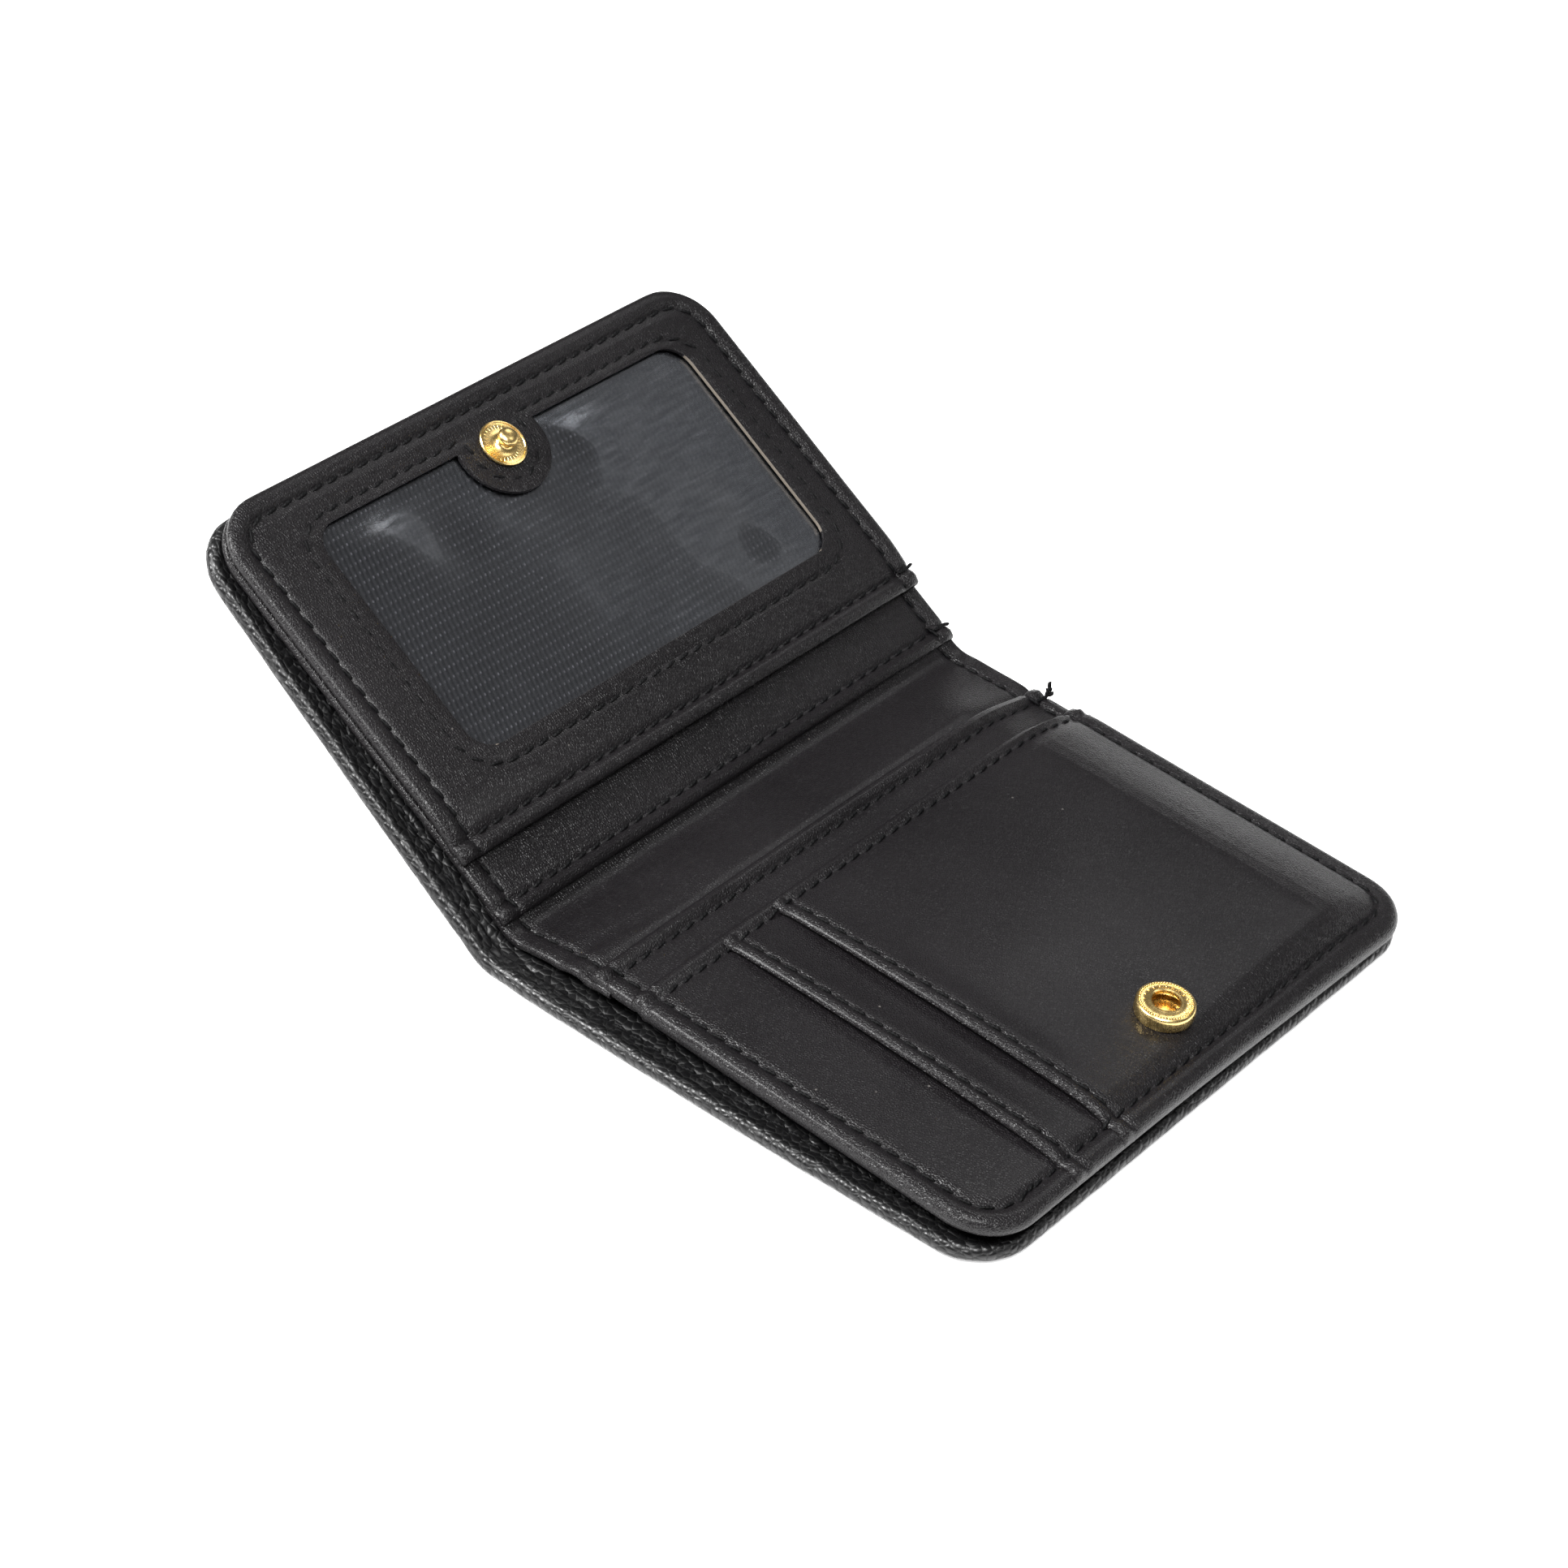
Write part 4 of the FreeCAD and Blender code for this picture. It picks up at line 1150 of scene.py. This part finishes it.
tuftY = leaf["far"] - 1.5
threadEnds("threadEndsRight", [
    ((rows["q1"], underTop(rows["q1"], tuftY)), [
        ((0, -3.2, 0.2), (0.2, -0.4, 0.1)), ((0, -0.8, 0), (0.1, 0, 1.7)),
        ((0.1, -0.1, 1.1), (-0.3, 0.1, 2.5)), ((-0.4, -0.4, 0.9), (0.5, 0.2, 1.2)),
        ((0.1, -0.6, 0.2), (0.8, 0.3, 0.7))]),
    ((rows["q2"], panelTopA(rows["q2"], tuftY)), [
        ((0, -3.2, 0.2), (0.1, -0.5, 0.1)), ((0, -1.0, 0.1), (0.3, 0.2, -0.3))]),
], 0.34, None, "right_leaf")
threadEnds("threadEndsLeft", [
    ((rows["p2"], lowerTop(rows["p2"], tuftY)), [
        ((0, -3.2, 0.2), (0, -0.3, 0.2)), ((0, -0.8, 0.2), (0.3, 0.3, 0.1))]),
    ((rows["p1"], windowTop(rows["p1"], tuftY)), [
        ((0, -3.2, 0.2), (0, -0.3, 0.2)), ((0, -0.8, 0.2), (-0.2, 0.3, 0.2))]),
], 0.3, "left", "left_leaf")
bpy.data.objects.remove(stitchShape)
print("stitches made")

# snap fastener

def spun(name, profile, steps=72):
    # a turned part: the closed profile of (radius, height) points swept round its axis
    piece = added(bpy.ops.mesh.primitive_circle_add, vertices=len(profile), radius=1)
    piece.name = piece.data.name = name
    for v, (r, z) in zip(piece.data.vertices, profile):
        v.co = (r, 0, z)
    useModifier(piece, "SCREW", steps=steps, render_steps=steps, use_merge_vertices=True,
                merge_threshold=0.01, use_smooth_shade=True)
    mergePoints(piece, 0.002, outward=True)
    return piece


def addBeads(piece, count, radius, height, size, stretch=1.0):
    # one small bead, copied round the rim
    bead = added(bpy.ops.mesh.primitive_uv_sphere_add, segments=8, ring_count=6, radius=size)
    bm = bmesh.new()
    bm.from_mesh(piece.data)
    for k in range(count):
        outwards = Matrix.Rotation(2 * math.pi * k / count, 4, "Z") @ Matrix.Translation((radius, 0, height))
        putIn(bm, bead, outwards @ Matrix.Diagonal((stretch, 1, 1, 1)))
    bm.to_mesh(piece.data)
    bm.free()
    bpy.data.objects.remove(bead)


def setSnap(piece, x, z, turn):
    for v in piece.data.vertices:
        v.co += Vector((x, 0, z))
    place(piece, turn)
    finishMesh(piece, 35)


stud = spun("snapStud", [
    (0.0, 0.0), (3.3, 0.0), (3.75, 0.12), (3.95, 0.36), (3.93, 0.62), (3.8, 0.76), (3.64, 0.72), (3.52, 0.56),
    (3.3, 0.5), (2.3, 0.52), (1.8, 0.62), (1.45, 0.8), (1.18, 1.02), (1.12, 1.2), (1.3, 1.42), (1.52, 1.72),
    (1.64, 2.1), (1.6, 2.45), (1.4, 2.78), (1.0, 3.0), (0.5, 3.09), (0.0, 3.1)])
addBeads(stud, 30, 2.85, 0.47, 0.1, 5.5)
setSnap(stud, -spots["snap"], levels["window"] - 0.02, "left")
wear(stud, "left_leaf", "gold_brass", "snap_stud")
socket = spun("snapSocket", [
    (0.0, 0.0), (4.05, 0.0), (4.33, 0.14), (4.42, 0.45), (4.43, 1.6), (4.36, 2.02), (4.18, 2.26),
    (3.98, 2.34), (3.8, 2.28), (3.55, 2.25), (2.8, 2.29), (2.6, 2.42), (2.38, 2.47), (2.16, 2.36),
    (2.06, 2.1), (2.08, 1.85), (2.3, 1.7), (3.4, 1.68), (3.5, 1.5), (3.5, 0.7), (3.3, 0.5), (0.0, 0.5)])
addBeads(socket, 58, 3.8, 2.3, 0.17)
addBeads(socket, 20, 3.22, 2.24, 0.15, 1.9)
setSnap(socket, spots["snap"], levels["c"] - 0.02, None)
wear(socket, "right_leaf", "gold_brass", "snap_socket")
print("snap made")

# cloth and film: the flat sizes they are cut to, worked out here but not used
for side, piece in floors.items():
    "shell_board_" + side
roofFlat = (leaf["outer"] - roof["inner"] - roof["inset"], 2 * (leaf["far"] - roof["inset"]))
linedWide, linedFar = leaf["outer"] - slot["rim"] - slot["side"], leaf["far"] - slot["rim"]
windowFlat = [window[b] - window[a] + 2 * window["lap"] for a, b in (("low", "high"), ("near", "far"))]
linedSlot = linedWide - spots["slotSide"]
for piece, restsOn, (wide, long) in (
        (pocketRoofRight, "underPocket", roofFlat), (pocketRoofLeft, "lowerPocket", roofFlat),
        (slotLiningB, "cardPanelA", (linedSlot, linedFar - slot["mouth"] - spots["slotB"])),
        (slotLiningC, "cardPanelB", (linedSlot, linedFar - slot["mouth"] - spots["slotC"])),
        (slotLiningLeft, "lowerPocket", (linedWide - spots["p1"], 2 * linedFar)),
        (windowBacking, "slotLiningLeft", windowFlat), (windowFilm, "windowPanel", windowFlat)):
    wide * mm
    long * mm

# floor, light and camera
studio = {"floor": (0.94, 0.94, 0.94, 1), "glow": 0.6, "world": 0.16, "size": 4.0, "under": 0.0002}
lamps = {  # each lamp's place, the spot it shines on, its side and its power
    "overhead": ((0.25, -0.38, 0.9), (0, 0, 0), 0.45, 12.0),
    "edgeLight": ((-0.2, 0.72, 0.8), (0, 0, 0), 0.36, 1.2),
    "frontLight": ((-0.52, -0.52, 0.7), (0, 0, 0), 0.34, 19.0),
    "backLight": ((0.45, 0.45, 0.77), (0, 0, 0.02), 0.25, 0.6),
}
floor = added(bpy.ops.mesh.primitive_plane_add, size=studio["size"], location=(0, 0, -studio["under"]))
floor.name = "floor"
floor.data.materials.append(Finish("pale paper").surface({
    "Base Color": studio["floor"], "Roughness": 0.75, "Emission Color": (1, 1, 1, 1),
    "Emission Strength": studio["glow"]}))
for name, (spot, aim, size, power) in lamps.items():
    data = bpy.data.lights.new(name, "AREA")
    data.shape, data.size, data.energy = "SQUARE", size, power
    lamp = bpy.data.objects.new(name, data)
    scene.collection.objects.link(lamp)
    lamp.location = spot
    lamp.rotation_mode = "QUATERNION"
    lamp.rotation_quaternion = (Vector(aim) - Vector(spot)).to_track_quat("-Z", "Y")
world = bpy.data.worlds.new("studio")
scene.world = world
world.use_nodes = True
sky = world.node_tree.nodes["Background"].inputs
sky["Color"].default_value, sky["Strength"].default_value = (1, 1, 1, 1), studio["world"]

view = {"place": (0.261, -0.375, 0.3694), "right": (0.7588, 0.6408, 0.1165),
        "down": (0.4729, -0.4191, -0.7750), "ahead": (-0.4478, 0.6432, -0.6211), "lens": 89.55}
camera = bpy.data.objects.new("camera", bpy.data.cameras.new("camera"))
scene.collection.objects.link(camera)
camera.location = view["place"]
camera.rotation_mode = "QUATERNION"
facing = Matrix((Vector(view["right"]), -Vector(view["down"]), -Vector(view["ahead"]))).transposed()
camera.rotation_quaternion = facing.to_quaternion()
camera.data.sensor_width, camera.data.lens = 36, view["lens"]
camera.data.clip_start = 0.01
scene.camera = camera
print("studio set")
